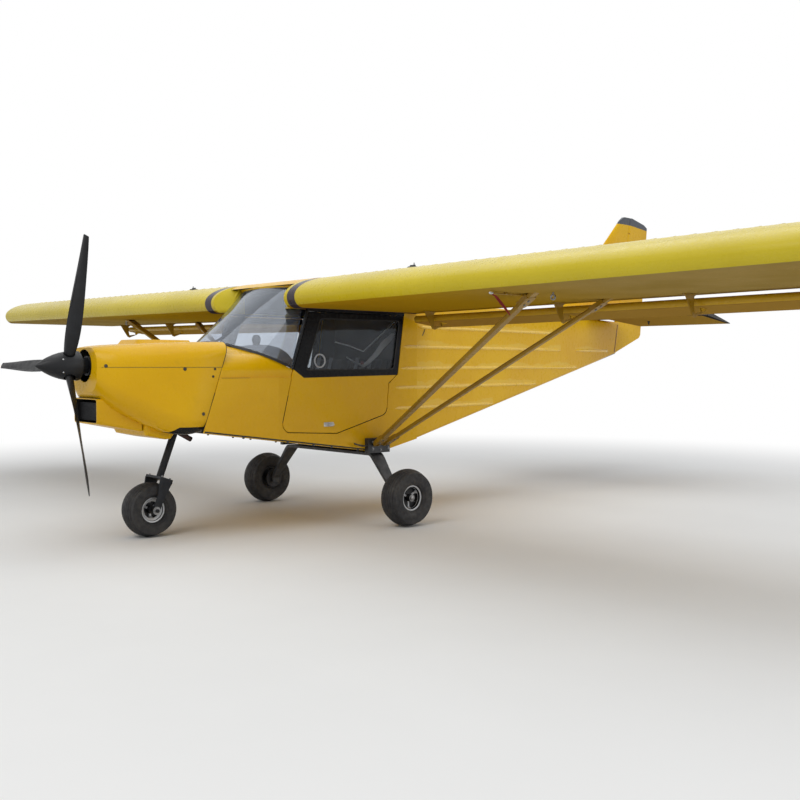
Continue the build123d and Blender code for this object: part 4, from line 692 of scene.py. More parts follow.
for _, sign in SIDES:
    for aft in (0.455, 1.02, 1.62, 2.25, 2.9, 3.4):
        low = BELLY_Z + (aft - BELLY_AFT) * (1.268 - BELLY_Z) / 3.71 + 0.035
        top = 1.635 - (aft - CABIN_END_AFT) * (1.635 - 1.5797) / 2.61 - 0.035
        rivet_row(from_side, boom_tree, sign, (aft, low), (aft, top), 0.032)
    for tree, start, end, gap in (
        (boom_tree, (0.46, 0.612), (3.5, 1.244), 0.034),
        (boom_tree, (0.46, 1.607), (3.0, 1.553), 0.034),
        (sheet_tree, (lean_aft(0.74) + 0.02, 0.722), (0.03, 0.523), 0.034),
        (sheet_tree, (lean_aft(0.74) + 0.016, 0.74), (lean_aft(1.03) + 0.016, 1.03), 0.04),
        (sheet_tree, (0.41, 0.60), (0.41, 1.48), 0.034),
        (sheet_tree, (-0.87, 0.66), (-0.87, 1.03), 0.05),
    ):
        rivet_row(from_side, tree, sign, start, end, gap)
    for how, first in ((from_below, -0.66), (from_above, -0.55)):
        for x in (0.6, 0.98, 1.4, 1.82, 2.24, 2.66, 3.08, 3.5, 3.92, 4.34):
            rivet_row(how, wing_trees[sign], sign, (x, first), (x, 0.39), 0.05)
        for aft in (-0.63, -0.42, 0.26):
            rivet_row(how, wing_trees[sign], sign, (0.6, aft), (4.4, aft), 0.055)
        for x in (0.2, 0.6, 1.0):
            rivet_row(how, stab_tree, sign, (x, 3.16), (x, 3.42), 0.03)
rivets.make("rivet_heads", fuselage_paint)

# Rolled beads that stiffen the sides of the rear fuselage and run on over the cabin walls
BEAD_SECTION = ((1.0, -0.002), (0.72, 0.0052), (0.3, 0.0085), (-0.3, 0.0085), (-0.72, 0.0052), (-1.0, -0.002))
BEAD_HALF = 0.0135
beads = Heap()
for _, sign in SIDES:
    boom_out = Vector((sign * (BOOM_END_AFT - CABIN_END_AFT), CABIN_HALF - BOOM_END_HALF, 0)).normalized()
    for z, first, last in BEAD_ROWS:
        rings = []
        count = int((last - first) / 0.04)
        for i in range(count + 1):
            aft = first + (last - first) * i / count
            share = min(1.0, 0.12 + min(aft - first, last - aft) / 0.05)
            on_wall = aft < CABIN_END_AFT
            face = point(sign * (CABIN_HALF if on_wall else boom_half(aft)), aft, z)
            out = X * sign if on_wall else boom_out
            rings.append([
                face + Z * across * BEAD_HALF * share + out * lift * (share if lift > 0 else 1.0)
                for across, lift in BEAD_SECTION
            ])
        beads.loops(rings)
# Painted highlight: the beads get a paler, glossier copy of the gold paint, so that they read as lit ridges
bead_highlight_paint = paint("bead_highlight_paint", rgb(242, 198, 44), rgb(236, 190, 34), wave=0.0, dust=0.05)
bead_highlight_paint.set(Specular_IOR_Level=0.6, Coat_Weight=0.5, Coat_Roughness=0.2)
beads.make("side_beads", bead_highlight_paint)

# Sheet fairings that lead the wings' noses into the windscreen
ROOT_INNER_X = 0.365
SKIRT_CORNER_AFT = -0.572
nose_line = [(-0.6903 + 0.0737 * cosd(a), 1.593 + 0.0737 * sind(a)) for a in range(270, 179, -15)]
nose_line += [(-0.364 - 0.4 * cosd(a), 1.593 + 0.151 * sind(a)) for a in range(6, 49, 6)]
root_fairings = Heap()
for _, sign in SIDES:
    inner_ring = []
    for aft, z in nose_line:
        hit = cast(screen_tree, point(sign * 0.4395, aft, z), X * -sign)
        if not hit or hit[0].x * sign < ROOT_INNER_X:
            hit = cast(screen_tree, point(sign * ROOT_INNER_X, -1.2, z), Y)
        on_screen = hit and hit[0].y < at(SKIRT_CORNER_AFT)
        corner = point(sign * ROOT_INNER_X, SKIRT_CORNER_AFT, z)
        inner_ring.append(hit[0] + hit[1] * 0.001 if on_screen else corner)
    outer_ring = [point(sign * 0.4403, aft + 0.0008, z) for aft, z in nose_line]
    root_fairings.loops([outer_ring, inner_ring], ends=False)
root_fairings.make("root_fairings", wing_paint)

# Skirt that closes the roof down on the windscreen's top edge
skirt = Heap()
rings = []
for i in range(61):
    across, fore = sind(3 * i - 90), cosd(3 * i - 90)
    back = 0.110 * (1 - fore)
    lean = SCREEN_SLOPE / 2
    foot = point(0.4085 * across, -0.625 + back * math.cos(lean), 1.69 - back * math.sin(lean))
    away = Vector((across * 0.110, -fore * 0.408, 0)).normalized()
    hit = cast(roof_tree, foot - Z * 0.02, Z)
    low = foot + away * 0.002 - Z * 0.008
    high = Vector((low.x, low.y, hit[0].z + 0.001 if hit else 1.6975))
    rings.append([low, high, high - away * 0.002, low - away * 0.002])
skirt.loops(rings)
skirt.make("roof_skirt", fuselage_paint)

# Plates that close the cabin's upper sides between the roof and the wall tops
for name, x, shade in (("root_closures", 0.4385, fuselage_paint), ("root_linings", 0.4355, panel_grey)):
    plates = Heap()
    for _, sign in SIDES:
        strip = []
        for i in range(38):
            aft = -0.49 + 0.918 * i / 37
            hit = cast(roof_tree, point(sign * 0.42, aft, 1.53), Z)
            low = point(sign * x, aft, 1.521)
            high = point(sign * x, aft, hit[0].z - 0.0005 if hit else 1.634)
            inward = X * -sign * 0.0012
            strip.append([low, high, high + inward, low + inward])
        plates.loops(strip)
    plates.make(name, shade, smooth=False)

# Plates over the ends of the notch behind each wing root
plates = Heap()
for _, sign in SIDES:
    plates.block(point(sign * 0.4695, 0.4285, 1.576), (0.0585, 0.0024, 0.108), edge=0.0006)
plates.make("notch_plates", fuselage_paint, smooth=False)

# Air speed probe under the left wing with its red streamer
PROBE_X = 2.3
PROBE_LINE = ((-0.742, 1.5275), (-0.56, 1.5278), (-0.40, 1.5285))
PROBE_TIP = ((-0.012, 0.003), (-0.009, 0.0062), (0.0, 0.0074), (0.012, 0.0066), (0.016, 0.0048))
STREAMER = (  # station, height, half width
    (-0.735, 1.523, 0.003), (-0.708, 1.514, 0.005), (-0.695, 1.506, 0.009),
    (-0.654, 1.474, 0.0095), (-0.614, 1.442, 0.007), (-0.582, 1.413, 0.003),
)
probe, probe_tip, streamer = Heap(), Heap(), Heap()
probe.tube([point(PROBE_X, *spot) for spot in PROBE_LINE], 0.0045, 12)
for aft in (-0.62, -0.44):
    probe.block(point(PROBE_X, aft, 1.5315), (0.016, 0.022, 0.012))
probe.make("speed_probe", shaded_gold_paint)
probe_tip.lathe(point(PROBE_X, *PROBE_LINE[0]), Y, PROBE_TIP, 16)
probe_tip.make("probe_tip", wheel_silver)
rings = []
for aft, z, wide in STREAMER:
    middle = point(PROBE_X, aft, z)
    across, thick = Vector((0, 0.6, 0.8)) * wide, X * 0.0009
    low, high = middle - across, middle + across
    rings.append([low - thick, high - thick, high + thick, low + thick])
streamer.loops(rings)
streamer_red = plastic("streamer_red", rgb(128, 20, 26), rgb(150, 34, 36), (0.7, 0.85), 300.0, 0.3)
streamer.make("probe_streamer", streamer_red)

# Rear edge of the rear fuselage beside the rudder, and the strip that closes the fin's hinge gap
post_trim, gap_strip = Heap(), Heap()
for _, sign in SIDES:
    post_trim.side_ribbon(boom_tree, sign, [(3.598, 1.262), (3.664, 1.553)], 0.016, 0.0009)
trim_brown = plastic("trim_brown", rgb(104, 58, 20), rgb(128, 78, 30), (0.5, 0.65), 200.0, 0.1)
post_trim.make("post_trim", trim_brown)
low, top = point(0, 3.6314, 1.255), point(0, 3.9269, 2.6385)
gap_strip.tube([low, low.lerp(top, 0.5), top], 0.0021)
gap_strip.make("rudder_gap_strip", seal_rubber)

# Gusset plates that widen the flaperon brackets towards the wing
gussets = Heap()
for _, sign in SIDES:
    for x in (0.8, 1.97, 2.9, 3.84):
        top = WING_LOW_Z + rise(x) - 0.0006
        hinge = 1.428 + rise(x)
        outline = (
            (0.214, top), (0.309, top), (0.3095, hinge + 0.012), (0.3165, hinge - 0.020),
            (0.330, hinge - 0.0385), (0.300, hinge - 0.036), (0.262, hinge + 0.018),
        )
        gussets.loops([[point(sign * x + dx, *spot) for spot in outline] for dx in (-0.0035, 0.0035)])
        gussets.block(point(sign * x, 0.262, top - 0.0018), (0.034, 0.104, 0.004), edge=0.0015)
gussets.make("bracket_gussets", shaded_gold_paint, smooth=False)

# Small toothed strip of flow fins along each wing's top, near its highest line
flow_fins = Heap()
for _, sign in SIDES:
    x = 0.72
    while x < 4.35:
        p, n = from_above(wing_trees[sign], sign, x, -0.47)
        a = Vector((sign * 0.009, 0.03, 0)).normalized()
        a = (a - n * a.dot(n)).normalized()
        side = a.cross(n) * 0.0006
        ring = [p - a * 0.016 - n * 0.001, p + a * 0.016 - n * 0.001]
        ring += [p + a * 0.015 + n * 0.0036, p - a * 0.002 + n * 0.0026]
        flow_fins.loops([[v - side for v in ring], [v + side for v in ring]])
        foot = [p + a * 0.02 * i + side * 12 * j for i, j in ((-1, -1), (1, -1), (1, 1), (-1, 1))]
        flow_fins.loops([[v - n * 0.001 for v in foot], [v + n * 0.0008 for v in foot]])
        x += 0.11
flow_fins.make("wing_flow_fins", wing_paint, smooth=False)

# Fuel filler and vent pin on each wing
fillers, filler_ring = Heap(), Heap()
for x, sign in ((1.29, 1), (1.38, -1)):
    p, n = from_above(wing_trees[sign], sign, x, -0.365)
    filler_ring.lathe(p, n, ((-0.002, 0.046), (0.003, 0.046), (0.005, 0.04), (0.004, 0.036)), 36)
    fillers.lathe(p, n, ((0.0, 0.036), (0.01, 0.036), (0.014, 0.032), (0.015, 0.012)), 32)
    fillers.block(p + n * 0.019, (0.05, 0.009, 0.012))
    fillers.lathe(p + Vector((sign * 0.012, 0.0, 0.012)), Z, ((0, 0.004), (0.024, 0.003), (0.028, 0.0015)), 10)
filler_ring.make("filler_rings", steel)
fillers.make("filler_caps", black_steel)

# Painted shade: a dark sheet inside the chin duct, from its mouth to a station further in, for the shade in
# the duct
DUCT_WALL, DUCT_ROUND = 0.0072, 0.010
DUCT_MOUTH = (0.158 - DUCT_WALL, 0.768 + DUCT_WALL, 0.925 - DUCT_WALL)  # half width, low, top
DUCT_REAR = (0.205 - DUCT_WALL, 0.712 + DUCT_WALL, 0.935 - DUCT_WALL)
DUCT_SHARE = (-1.905 + 1.98) / 0.28


def duct_ring(aft, half, low, top):
    ring = []
    right, foot, head = half - DUCT_ROUND, low + DUCT_ROUND, top - DUCT_ROUND
    for cx, cz, start in ((right, head, 0), (-right, head, 90), (-right, foot, 180), (right, foot, 270)):
        for angle in (start + k * 22.5 for k in range(5)):
            ring.append(point(cx + DUCT_ROUND * cosd(angle), aft, cz + DUCT_ROUND * sind(angle)))
    return ring


duct_shade_sheet = Heap()
outer = duct_ring(-1.979, *DUCT_MOUTH)
inner = duct_ring(-1.905, *(a + (b - a) * DUCT_SHARE for a, b in zip(DUCT_MOUTH, DUCT_REAR)))
thin = [Vector((v.x * 0.995, v.y, v.z)) for v in inner]
lip = [Vector((v.x * 0.994, v.y, v.z + (0.846 - v.z) * 0.012)) for v in outer]
duct_shade_sheet.loops([outer, inner, thin, lip, outer], ends=False)
duct_shade_sheet.make("chin_duct_shade", seal_rubber)

# Radiator mesh bars behind the mouth
mesh_bars = Heap()
low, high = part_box("radiator")
for i in range(13):
    z = low.z + 0.008 + i * (high.z - low.z - 0.016) / 12
    mesh_bars.block((0, low.y - 0.0012, z), (high.x * 1.9, 0.003, 0.0018), edge=0.0004)
mesh_bars.make("radiator_bars", fin_core)

# Spinner: screws and backplate ring
spinner_screws, spinner_rim = Heap(), Heap()
spinner_tree = tree_of("spinner")
for angle in range(0, 360, 60):
    away = Vector((sind(angle), 0, cosd(angle)))
    hit = cast(spinner_tree, point(0, -2.15, THRUST_Z) + away * 0.5, -away)
    if hit:
        spinner_screws.stud(hit, 0.0045, 0.0022, 12)
spinner_screws.make("spinner_screws", wheel_silver, "propeller_unit")
rim = ((0.0, 0.0915), (0.001, 0.0925), (0.005, 0.0925), (0.006, 0.0915))
spinner_rim.lathe(point(0, -2.0455, THRUST_Z), Y, rim, 72, ends=False)
spinner_rim.make("spinner_rim", prop_black, "propeller_unit")


def blade_front(mesh, out, radius):
    """Leading point of a blade's section at a radius, and the way along its chord."""
    hub = point(0, -2.1, THRUST_Z)
    found = []
    for edge in mesh.edges:
        a, b = (mesh.vertices[i].co - hub for i in edge.vertices)
        da, db = a.dot(out) - radius, b.dot(out) - radius
        if da * db < 0:
            found.append(hub + a.lerp(b, da / (da - db)))
    spin = out.cross(Y)
    found = sorted((p for p in found if abs((p - hub).dot(spin)) < 0.12), key=lambda p: p.dot(spin))
    front, rear = sorted((found[0], found[-1]), key=lambda p: p.y)
    return front, (rear - front).normalized()


# Rubber strip along each blade's leading edge
GUARD_SECTION = ((-0.0012, 0.0), (0.001, 0.0016), (0.010, 0.0034), (0.010, -0.0034), (0.001, -0.0016))
blade_guard = Heap()
for angle in (30.0, 150.0, 270.0):
    out = Vector((sind(angle), 0, cosd(angle)))
    rings = []
    for radius in (0.40, 0.5, 0.6, 0.7, 0.8, 0.868):
        front, chord = blade_front(NODES["propeller"].data, out, radius)
        rings.append([front + chord * along + out.cross(chord) * lift for along, lift in GUARD_SECTION])
    blade_guard.loops(rings)
blade_guard.make("blade_edges", black_steel, "propeller_unit")


def tyre(node, body, centre, radius, width, rim):
    """Balloon section with tread ribs and a plain sidewall."""
    half = width / 2
    shoulder = 0.016
    crown = radius - shoulder
    bead = ((0.62, -0.001), (0.70, 0.0015), (0.80, 0.006), (0.86, 0.010), (0.868, shoulder))
    outline = [(-half * share, rim + lift) for share, lift in bead]
    for k in range(1, 10):
        z = rim + shoulder + (crown - rim - shoulder) * k / 10
        bulge = 1.0 - abs((z - (rim + radius) / 2) / (crown - rim)) ** 2.2 * 0.9
        ridge = 0.00048 if k in (6, 7) else 0.0
        outline.append((-half * min(0.995, 0.74 + 0.255 * bulge) + ridge, z))
    outline.append((-half * 0.74, crown))
    wall = len(outline)
    for k in range(6):
        a0, a1 = -0.70 + 1.40 * k / 6, -0.70 + 1.40 * (k + 1) / 6
        for share, drop in ((0.06, 0.0034), (0.14, 0.0), (0.86, 0.0), (0.94, 0.0034)):
            w = a0 + (a1 - a0) * share
            outline.append((w * half, radius - shoulder * (abs(w) / 0.72) ** 2.0 - drop - 0.0002))
    outline += [(-x, r) for x, r in reversed(outline[:wall])]
    heap = Heap()
    heap.lathe(centre, X, outline + outline[:1], 112, ends=False)
    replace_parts(heap.make(f"{node}_tread", rubber, body), node)


def wheel_face(name, body, centre, sign, rim, width, dish):
    """Bright flange ring, spoke plate, hub nut and bolts on one side of a wheel."""
    out = X * sign
    lip = width / 2 * 0.62 - 0.0005
    heap, bolts = Heap(), Heap()
    flange = (
        (-0.012, rim - 0.0105), (-0.020, dish + 0.003), (-0.0175, dish), (-0.013, dish + 0.002),
        (-0.006, rim - 0.0105), (0.003, rim - 0.008), (0.0052, rim + 0.001), (0.004, rim + 0.0055),
        (0.001, rim + 0.006), (-0.002, rim - 0.0005), (-0.012, rim - 0.0105),
    )
    heap.lathe(centre, out, [(lip + along, r) for along, r in flange], 72, ends=False)
    spoke = (  # distance out from the hub, half width, height
        (0.018, 0.012, 0.017), (0.030, 0.0075, 0.015),
        (dish - 0.012, 0.0085, 0.016), (dish + 0.002, 0.016, lip - 0.014),
    )
    for radial in circle(Vector(), *frame_of(out), 1.0, 12)[3::4]:
        around = out.cross(radial)
        rings = []
        for r, w, h in spoke:
            corners = ((-w, 0.0042), (w, 0.0042), (w - 0.002, h), (0.002 - w, h))
            rings.append([centre + radial * r + around * i + out * j for i, j in corners])
        heap.loops(rings)
    hub = ((0.004, 0.021), (0.018, 0.021), (0.021, 0.018), (0.021, 0.0125), (0.004, 0.0125))
    heap.lathe(centre, out, hub, 32, ends=False)
    heap.make(f"{name}_face", wheel_silver, body)
    for p in circle(centre + out * 0.012, *frame_of(out), dish - 0.006, 12)[1::2]:
        bolts.bolt(p, out, 0.0038, 0.004)
    bolts.make(f"{name}_bolts", steel, body)


nose_centre = point(0, NOSE_AFT, NOSE_R)
main_centres = {sign: point(sign * MAIN_X, 0, MAIN_R) for _, sign in SIDES}
for side, sign in SIDES:
    tyre(f"main_{side}_tyre", f"main_wheel_{side}", main_centres[sign], MAIN_R, MAIN_WIDE, MAIN_RIM)
tyre("nose_tyre", "nose_wheel", nose_centre, NOSE_R, NOSE_WIDE, NOSE_RIM)
for side, sign in SIDES:
    body = f"main_wheel_{side}"
    wheel_face(f"main_{side}_wheel", body, main_centres[sign], sign, MAIN_RIM, MAIN_WIDE, 0.074)
for side, sign in SIDES:
    wheel_face(f"nose_wheel_{side}", "nose_wheel", nose_centre, sign, NOSE_RIM, NOSE_WIDE, 0.055)

# Axle nuts and caliper bolts on the main legs
axle_nuts = Heap()
for _, sign in SIDES:
    axle_nuts.bolt(point(sign * (MAIN_X + MAIN_WIDE / 2 - 0.028), 0, MAIN_R), X * sign, 0.0165, 0.011)
    for aft, lift in ((0.053, 0.052), (0.036, 0.068)):
        axle_nuts.bolt(point(sign * 0.7445, aft, MAIN_R + lift * 0.72), X * -sign, 0.005, 0.004)
axle_nuts.make("axle_nuts", steel)

# Nose fork: crown bolts and axle nuts
fork_bolts = Heap()
steer_up = Vector((0, math.sin(STEER_LEAN), math.cos(STEER_LEAN)))
steer_fore = Vector((0, -math.cos(STEER_LEAN), math.sin(STEER_LEAN)))
for x in (-0.084, 0.084):
    for fore in (-0.03, 0.03):
        fork_bolts.bolt(nose_centre + steer_up * 0.221 + X * x + steer_fore * fore, steer_up, 0.006, 0.009)
for _, sign in SIDES:
    fork_bolts.bolt(nose_centre + X * sign * 0.102, X * sign, 0.018, 0.005)
fork_bolts.make("fork_bolts", steel, "steering")

# Strut ends: foot forks, head plates and bolts; then the bent rods beside the strut foot
STRUT_FOOT_X, STRUT_FOOT_Z, STRUT_HEAD_X = 0.536, 0.558, 2.36
STRUTS = ((-0.010, -0.454, 0.062), (0.070, 0.251, 0.048))  # station of foot and head, chord
ROD = (
    (0.53, -0.095, 0.556), (0.545, -0.15, 0.553), (0.55, -0.2, 0.566),
    (0.535, -0.215, 0.575), (0.52, -0.19, 0.566), (0.515, -0.1, 0.55),
)
fittings, fitting_bolts, foot_rods = Heap(), Heap(), Heap()
for _, sign in SIDES:
    for foot_aft, head_aft, chord in STRUTS:
        foot = point(sign * STRUT_FOOT_X, foot_aft, STRUT_FOOT_Z)
        head = point(sign * STRUT_HEAD_X, head_aft, WING_LOW_Z + rise(STRUT_HEAD_X))
        run = (head - foot).normalized()
        fore = (Y - run * Y.dot(run)).normalized()
        flat = run.cross(fore)
        for base, long in ((foot + run * 0.012, 0.13), (head - run * 0.03, -0.11)):
            rings = []
            for t, w in ((0.0, 0.5), (0.25, 0.52), (0.85, 0.5), (1.0, 0.36)):
                p = base + run * (long * t)
                a, b = fore * chord * w * 1.08, flat * 0.0148
                rings.append([p - a - b, p + a - b, p + a + b, p - a + b])
            fittings.loops(rings)
            for t in (0.3, 0.7):
                for way in (flat, -flat):
                    fitting_bolts.bolt(base + run * (long * t) + way * 0.0146, way, 0.006, 0.006)
    for aft, high in ((-0.045, 0.03), (-0.045, 0.08), (0.105, 0.03), (0.105, 0.08), (0.03, 0.02)):
        fitting_bolts.bolt(point(sign * 0.5361, aft, BELLY_Z + high), X * sign, 0.007, 0.007)
    foot_rods.tube(curve_points([point(sign * x, aft, z) for x, aft, z in ROD], 30), 0.005)
fittings.make("strut_sleeves", shaded_gold_paint)
fitting_bolts.make("strut_bolts", steel)
foot_rods.make("step_loops", black_steel)

# Belly edge: sealing strip and small lugs
belly_edge, belly_lugs = Heap(), Heap()
for _, sign in SIDES:
    line = side_path([(lean_aft(0.70) + 0.012, 0.703), (0.02, 0.5045)])
    spots = [from_side(sheet_tree, sign, aft, z + 0.004) for aft, z in line]
    belly_edge.ribbon([spot for spot in spots if spot], 0.009, 0.0016)
    for aft in (-1.12, -0.78, -0.56, -0.40, -0.16):
        z = BELLY_Z + (aft - BELLY_AFT) * (0.7 - BELLY_Z) / (lean_aft(0.7) - BELLY_AFT)
        hit = from_side(sheet_tree, sign, aft, z + 0.012)
        if hit:
            belly_lugs.block(hit[0] + Vector((sign * 0.0015, 0, -0.011)), (0.009, 0.014, 0.018), edge=0.001)
belly_edge.make("belly_edge_seal", seal_rubber)
belly_lugs.make("belly_lugs", black_steel)

# Door latch, window rubber and vent ring on each door
HANDLE = ((-0.03, 0.004), (-0.02, 0.0065), (0.02, 0.0075), (0.04, 0.0055))
OCTAGON = ((1, 0), (0.7, 0.7), (0, 1), (-0.7, 0.7), (-1, 0), (-0.7, -0.7), (0, -1), (0.7, -0.7))
PANE_CORNERS = [Vector(c) for c in ((-0.495, 1.455), (-0.622, 1.10), (0.190, 1.105), (0.245, 1.459))]
PANE_ROUND = 0.026
VENT = ((0.0, 0.050), (0.005, 0.050), (0.0065, 0.047), (0.0055, 0.0405), (0.0005, 0.0395))
latch_spot = cast(tree_of("door_left"), CAM_AT, pixel_ray(328.6, 424.3))[0]
pane_path = []
for i, c in enumerate(PANE_CORNERS):
    neighbours = (PANE_CORNERS[i - 1], PANE_CORNERS[(i + 1) % 4])
    a, b = (c + (near - c).normalized() * PANE_ROUND for near in neighbours)
    pane_path += [a * (1 - t) ** 2 + c * 2 * t * (1 - t) + b * t * t for t in (k / 6 for k in range(7))]
dense = []
for a, b in zip(pane_path, pane_path[1:] + pane_path[:1]):
    count = max(1, int((b - a).length / 0.03))
    dense += [a + (b - a) * (k / count) for k in range(count)]
for side, sign in SIDES:
    body = f"door_{side}_unit"
    out = X * sign
    latch, pane_edge, vent = Heap(), Heap(), Heap()
    p = Vector((sign * CABIN_HALF, latch_spot.y, latch_spot.z))
    latch.block(p + out * 0.002, (0.005, 0.085, 0.03))
    latch.lathe(p + out * 0.003, out, ((0.0, 0.0125), (0.008, 0.0125), (0.01, 0.01)), 24)
    rings = []
    for t, r in HANDLE:
        c = p + out * 0.0135 + Vector((0, t, 0.002 - t * 0.12))
        rings.append([c + Vector((sign * dx * r * 0.6, 0, dz * r)) for dx, dz in OCTAGON])
    latch.loops(rings)
    latch.make(f"door_latch_{side}", wheel_silver, body)
    edge = [(point(sign * 0.5002, v.x, v.y), out) for v in dense + dense[:2]]
    pane_edge.ribbon(edge, 0.008, 0.0022)
    pane_edge.make(f"pane_rubber_{side}", seal_rubber, body)
    face_x = sign * max(abs(corner.x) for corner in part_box(f"door_glass_{side}"))
    vent.lathe(point(face_x, -0.497, 1.163), out, VENT, 44, ends=False)
    vent_grey = plastic(f"vent_plastic_{side}", rgb(168, 172, 178), rgb(198, 200, 204), (0.3, 0.45))
    vent.make(f"vent_ring_{side}", vent_grey, body)

# ---- cabin

VOXEL, PAD_SHRINK, PAD_CAP, PAD_FILL = 0.007, 0.006, 0.007, 0.6
CLOTH_FRAMES = 20
CHANNEL_WIDE, CHANNEL_DEEP = 0.012, 0.005


def evaluated(obj):
    """The object's mesh with its modifiers, which are taken off it."""
    mesh = bpy.data.meshes.new_from_object(obj.evaluated_get(bpy.context.evaluated_depsgraph_get()))
    obj.modifiers.clear()
    return mesh


def swell(obj):
    """Inflate a closed mesh as cloth, with a cap on how far its points move."""
    start = [v.co.copy() for v in obj.data.vertices]
    soft = obj.modifiers.new("cloth", "CLOTH")
    soft.settings.use_pressure = True
    soft.settings.uniform_pressure_force = 4.0
    soft.settings.quality = 5
    soft.settings.effector_weights.gravity = 0.0
    soft.collision_settings.use_collision = False
    soft.point_cache.frame_end = CLOTH_FRAMES
    for step in range(1, CLOTH_FRAMES + 1):
        bpy.context.scene.frame_set(step)
    swollen = evaluated(obj)
    bpy.context.scene.frame_set(1)
    for v, p in zip(swollen.vertices, start):
        move = v.co - p
        if move.length > PAD_CAP:
            v.co = p + move * (PAD_CAP / move.length)
    obj.data = swollen


def pad(node, name, axis, way):
    """Padded piece grown from a CAD solid, with sewn channels on the side that faces along an axis."""
    bm = bmesh.new()
    bm.from_mesh(NODES[node].data)
    bmesh.ops.remove_doubles(bm, verts=bm.verts, dist=0.00001)
    bmesh.ops.recalc_face_normals(bm, faces=bm.faces)
    mesh = bpy.data.meshes.new(name)
    bm.to_mesh(mesh)
    bm.free()
    obj = bpy.data.objects.new(name, mesh)
    bpy.context.scene.collection.objects.link(obj)
    remesh = obj.modifiers.new("remesh", "REMESH")
    remesh.mode = "VOXEL"
    remesh.voxel_size = VOXEL
    obj.data = evaluated(obj)
    obj.modifiers.new("smooth", "SMOOTH").iterations = 6
    obj.data = evaluated(obj)
    for v in obj.data.vertices:
        v.co = v.co - v.normal * PAD_SHRINK
    swell(obj)
    for poly in obj.data.polygons:
        poly.use_smooth = True
    obj.data.materials.clear()
    obj.data.materials.append(seat_cloth.mat)
    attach(obj, "airframe")
    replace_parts(obj, node)
    for line in (0.13, 0.24, 0.35):
        for v in obj.data.vertices:
            d = abs(abs(v.co.x) - line)
            if d < CHANNEL_WIDE and v.normal[axis] * way >= 0.3:
                v.co -= v.normal * CHANNEL_DEEP * math.cos(d / CHANNEL_WIDE * math.pi / 2) ** 2
    fine = obj.modifiers.new("fine", "SUBSURF")
    fine.levels = fine.render_levels = 1


pad("seat_cushions", "seat_cushion_pads", 2, 1)
pad("seat_backs", "seat_back_pads", 1, -1)

# Shoulder and lap belts, lying over the seat back and the cushion
BELT_LIFT, BELT_WIDE, BELT_CRUMPLE, BELT_STEPS = 0.016, 0.046, 0.12, 60
seat_tree = tree_of("seat_cushions", "seat_backs", "seat_shells")


def belt(heap, spots, seed):
    """Webbing strap through points with normals, which rolls and waves a little."""
    phase = random.Random(seed).random() * 6
    path, normals = (curve_points(line, BELT_STEPS) for line in zip(*spots))
    rings = []
    for i, (p, n) in enumerate(zip(path, normals)):
        run = run_at(path, i).normalized()
        n = (n - run * n.dot(run)).normalized()
        roll = BELT_CRUMPLE * math.sin(i * 0.35 + phase)
        side = (run.cross(n) * math.cos(roll) + n * math.sin(roll)) * BELT_WIDE / 2
        face = run.cross(side).normalized() * 0.0009
        third, up, down = side * 0.33, face * (1 + BELT_CRUMPLE * 3), face * (1 - BELT_CRUMPLE * 2)
        high, low = face * (1 + BELT_CRUMPLE * 2), face * (1 - BELT_CRUMPLE * 3)
        rings.append([
            p - side - face, p - third - up, p + third - down, p + side - face,
            p + side + face, p + third + high, p - third + low, p - side + face,
        ])
    heap.loops(rings)


belts, buckles = Heap(), Heap()
for _, sign in SIDES:
    for offset in (-0.075, 0.075):
        x = sign * SEAT_X + offset
        hits = [
            cast(seat_tree, point(x, aft - 0.35, 0.9 + (aft + 0.12) * 1.9), Y)
            for aft in (0.20, 0.14, 0.09, 0.03, -0.03, -0.08)
        ]
        lap_x = x * 0.9 + sign * SEAT_X * 0.1
        hits += [from_above(seat_tree, 1, lap_x, aft, 1.0) for aft in (-0.16, -0.24, -0.30)]
        belt(belts, [(hit[0] + hit[1] * BELT_LIFT, hit[1]) for hit in hits if hit], int(x * 1000))
    buckle_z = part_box("seat_cushions")[1].z + 0.022
    buckles.block((sign * SEAT_X, at(-0.30), buckle_z), (0.06, 0.05, 0.018), edge=0.005)
belts.make("seat_belts", cloth("belt_webbing", rgb(150, 152, 156), rgb(186, 188, 190), 900.0))
buckles.make("belt_buckles", plastic("buckle_red", rgb(120, 20, 24), rgb(150, 40, 40), (0.3, 0.5)))

# Padded glare shield over the instrument panel, with the compass on it
SHIELD_ARCH = (
    (0.0, 1.278), (0.12, 1.274), (0.24, 1.256), (0.32, 1.226), (0.365, 1.198), (0.398, 1.168), (0.402, 1.140),
)
COMPASS = ((-0.030, 0.014), (-0.026, 0.024), (-0.012, 0.031), (0.008, 0.031), (0.024, 0.024), (0.032, 0.012))
shield_line = [(-x, z) for x, z in reversed(SHIELD_ARCH[1:])] + list(SHIELD_ARCH)
shield, compass = Heap(), Heap()
rings = []
for aft, drop in ((-0.90, 0.040), (-0.84, 0.012), (-0.75, 0.004), (-0.668, 0.0), (-0.655, 0.004)):
    ring = [point(x * (1.0 - drop), aft, z - drop) for x, z in shield_line]
    rings.append(ring + [point(x * (0.97 - drop), aft, z - drop - 0.012) for x, z in reversed(shield_line)])
shield.loops(rings)
shield_cover = plastic("shield_cover", rgb(70, 73, 79), rgb(92, 95, 101), (0.6, 0.75), 240.0, 0.2)
shield.make("glare_shield", shield_cover)
middle = point(0.02, -0.70, 1.316)
compass.block(middle - Z * 0.030, (0.040, 0.040, 0.022), edge=0.004)
compass.lathe(middle, Z, COMPASS, 28)
compass.make("compass", seal_rubber)

# Tube across the cabin below the roof's front edge, and a brace at the right of the windscreen
CROSS_TUBE = ((-0.30, -0.52, 1.655), (0, -0.525, 1.665), (0.30, -0.52, 1.655))
BRACE = ((-0.400, -0.800, 1.292), (-0.400, -0.700, 1.345), (-0.400, -0.600, 1.398))
cabin_tubes = Heap()
for path, radius in ((CROSS_TUBE, 0.011), (BRACE, 0.009)):
    cabin_tubes.tube([point(*spot) for spot in path], radius, 14)
cabin_tubes.make("cabin_tubes", panel_grey)

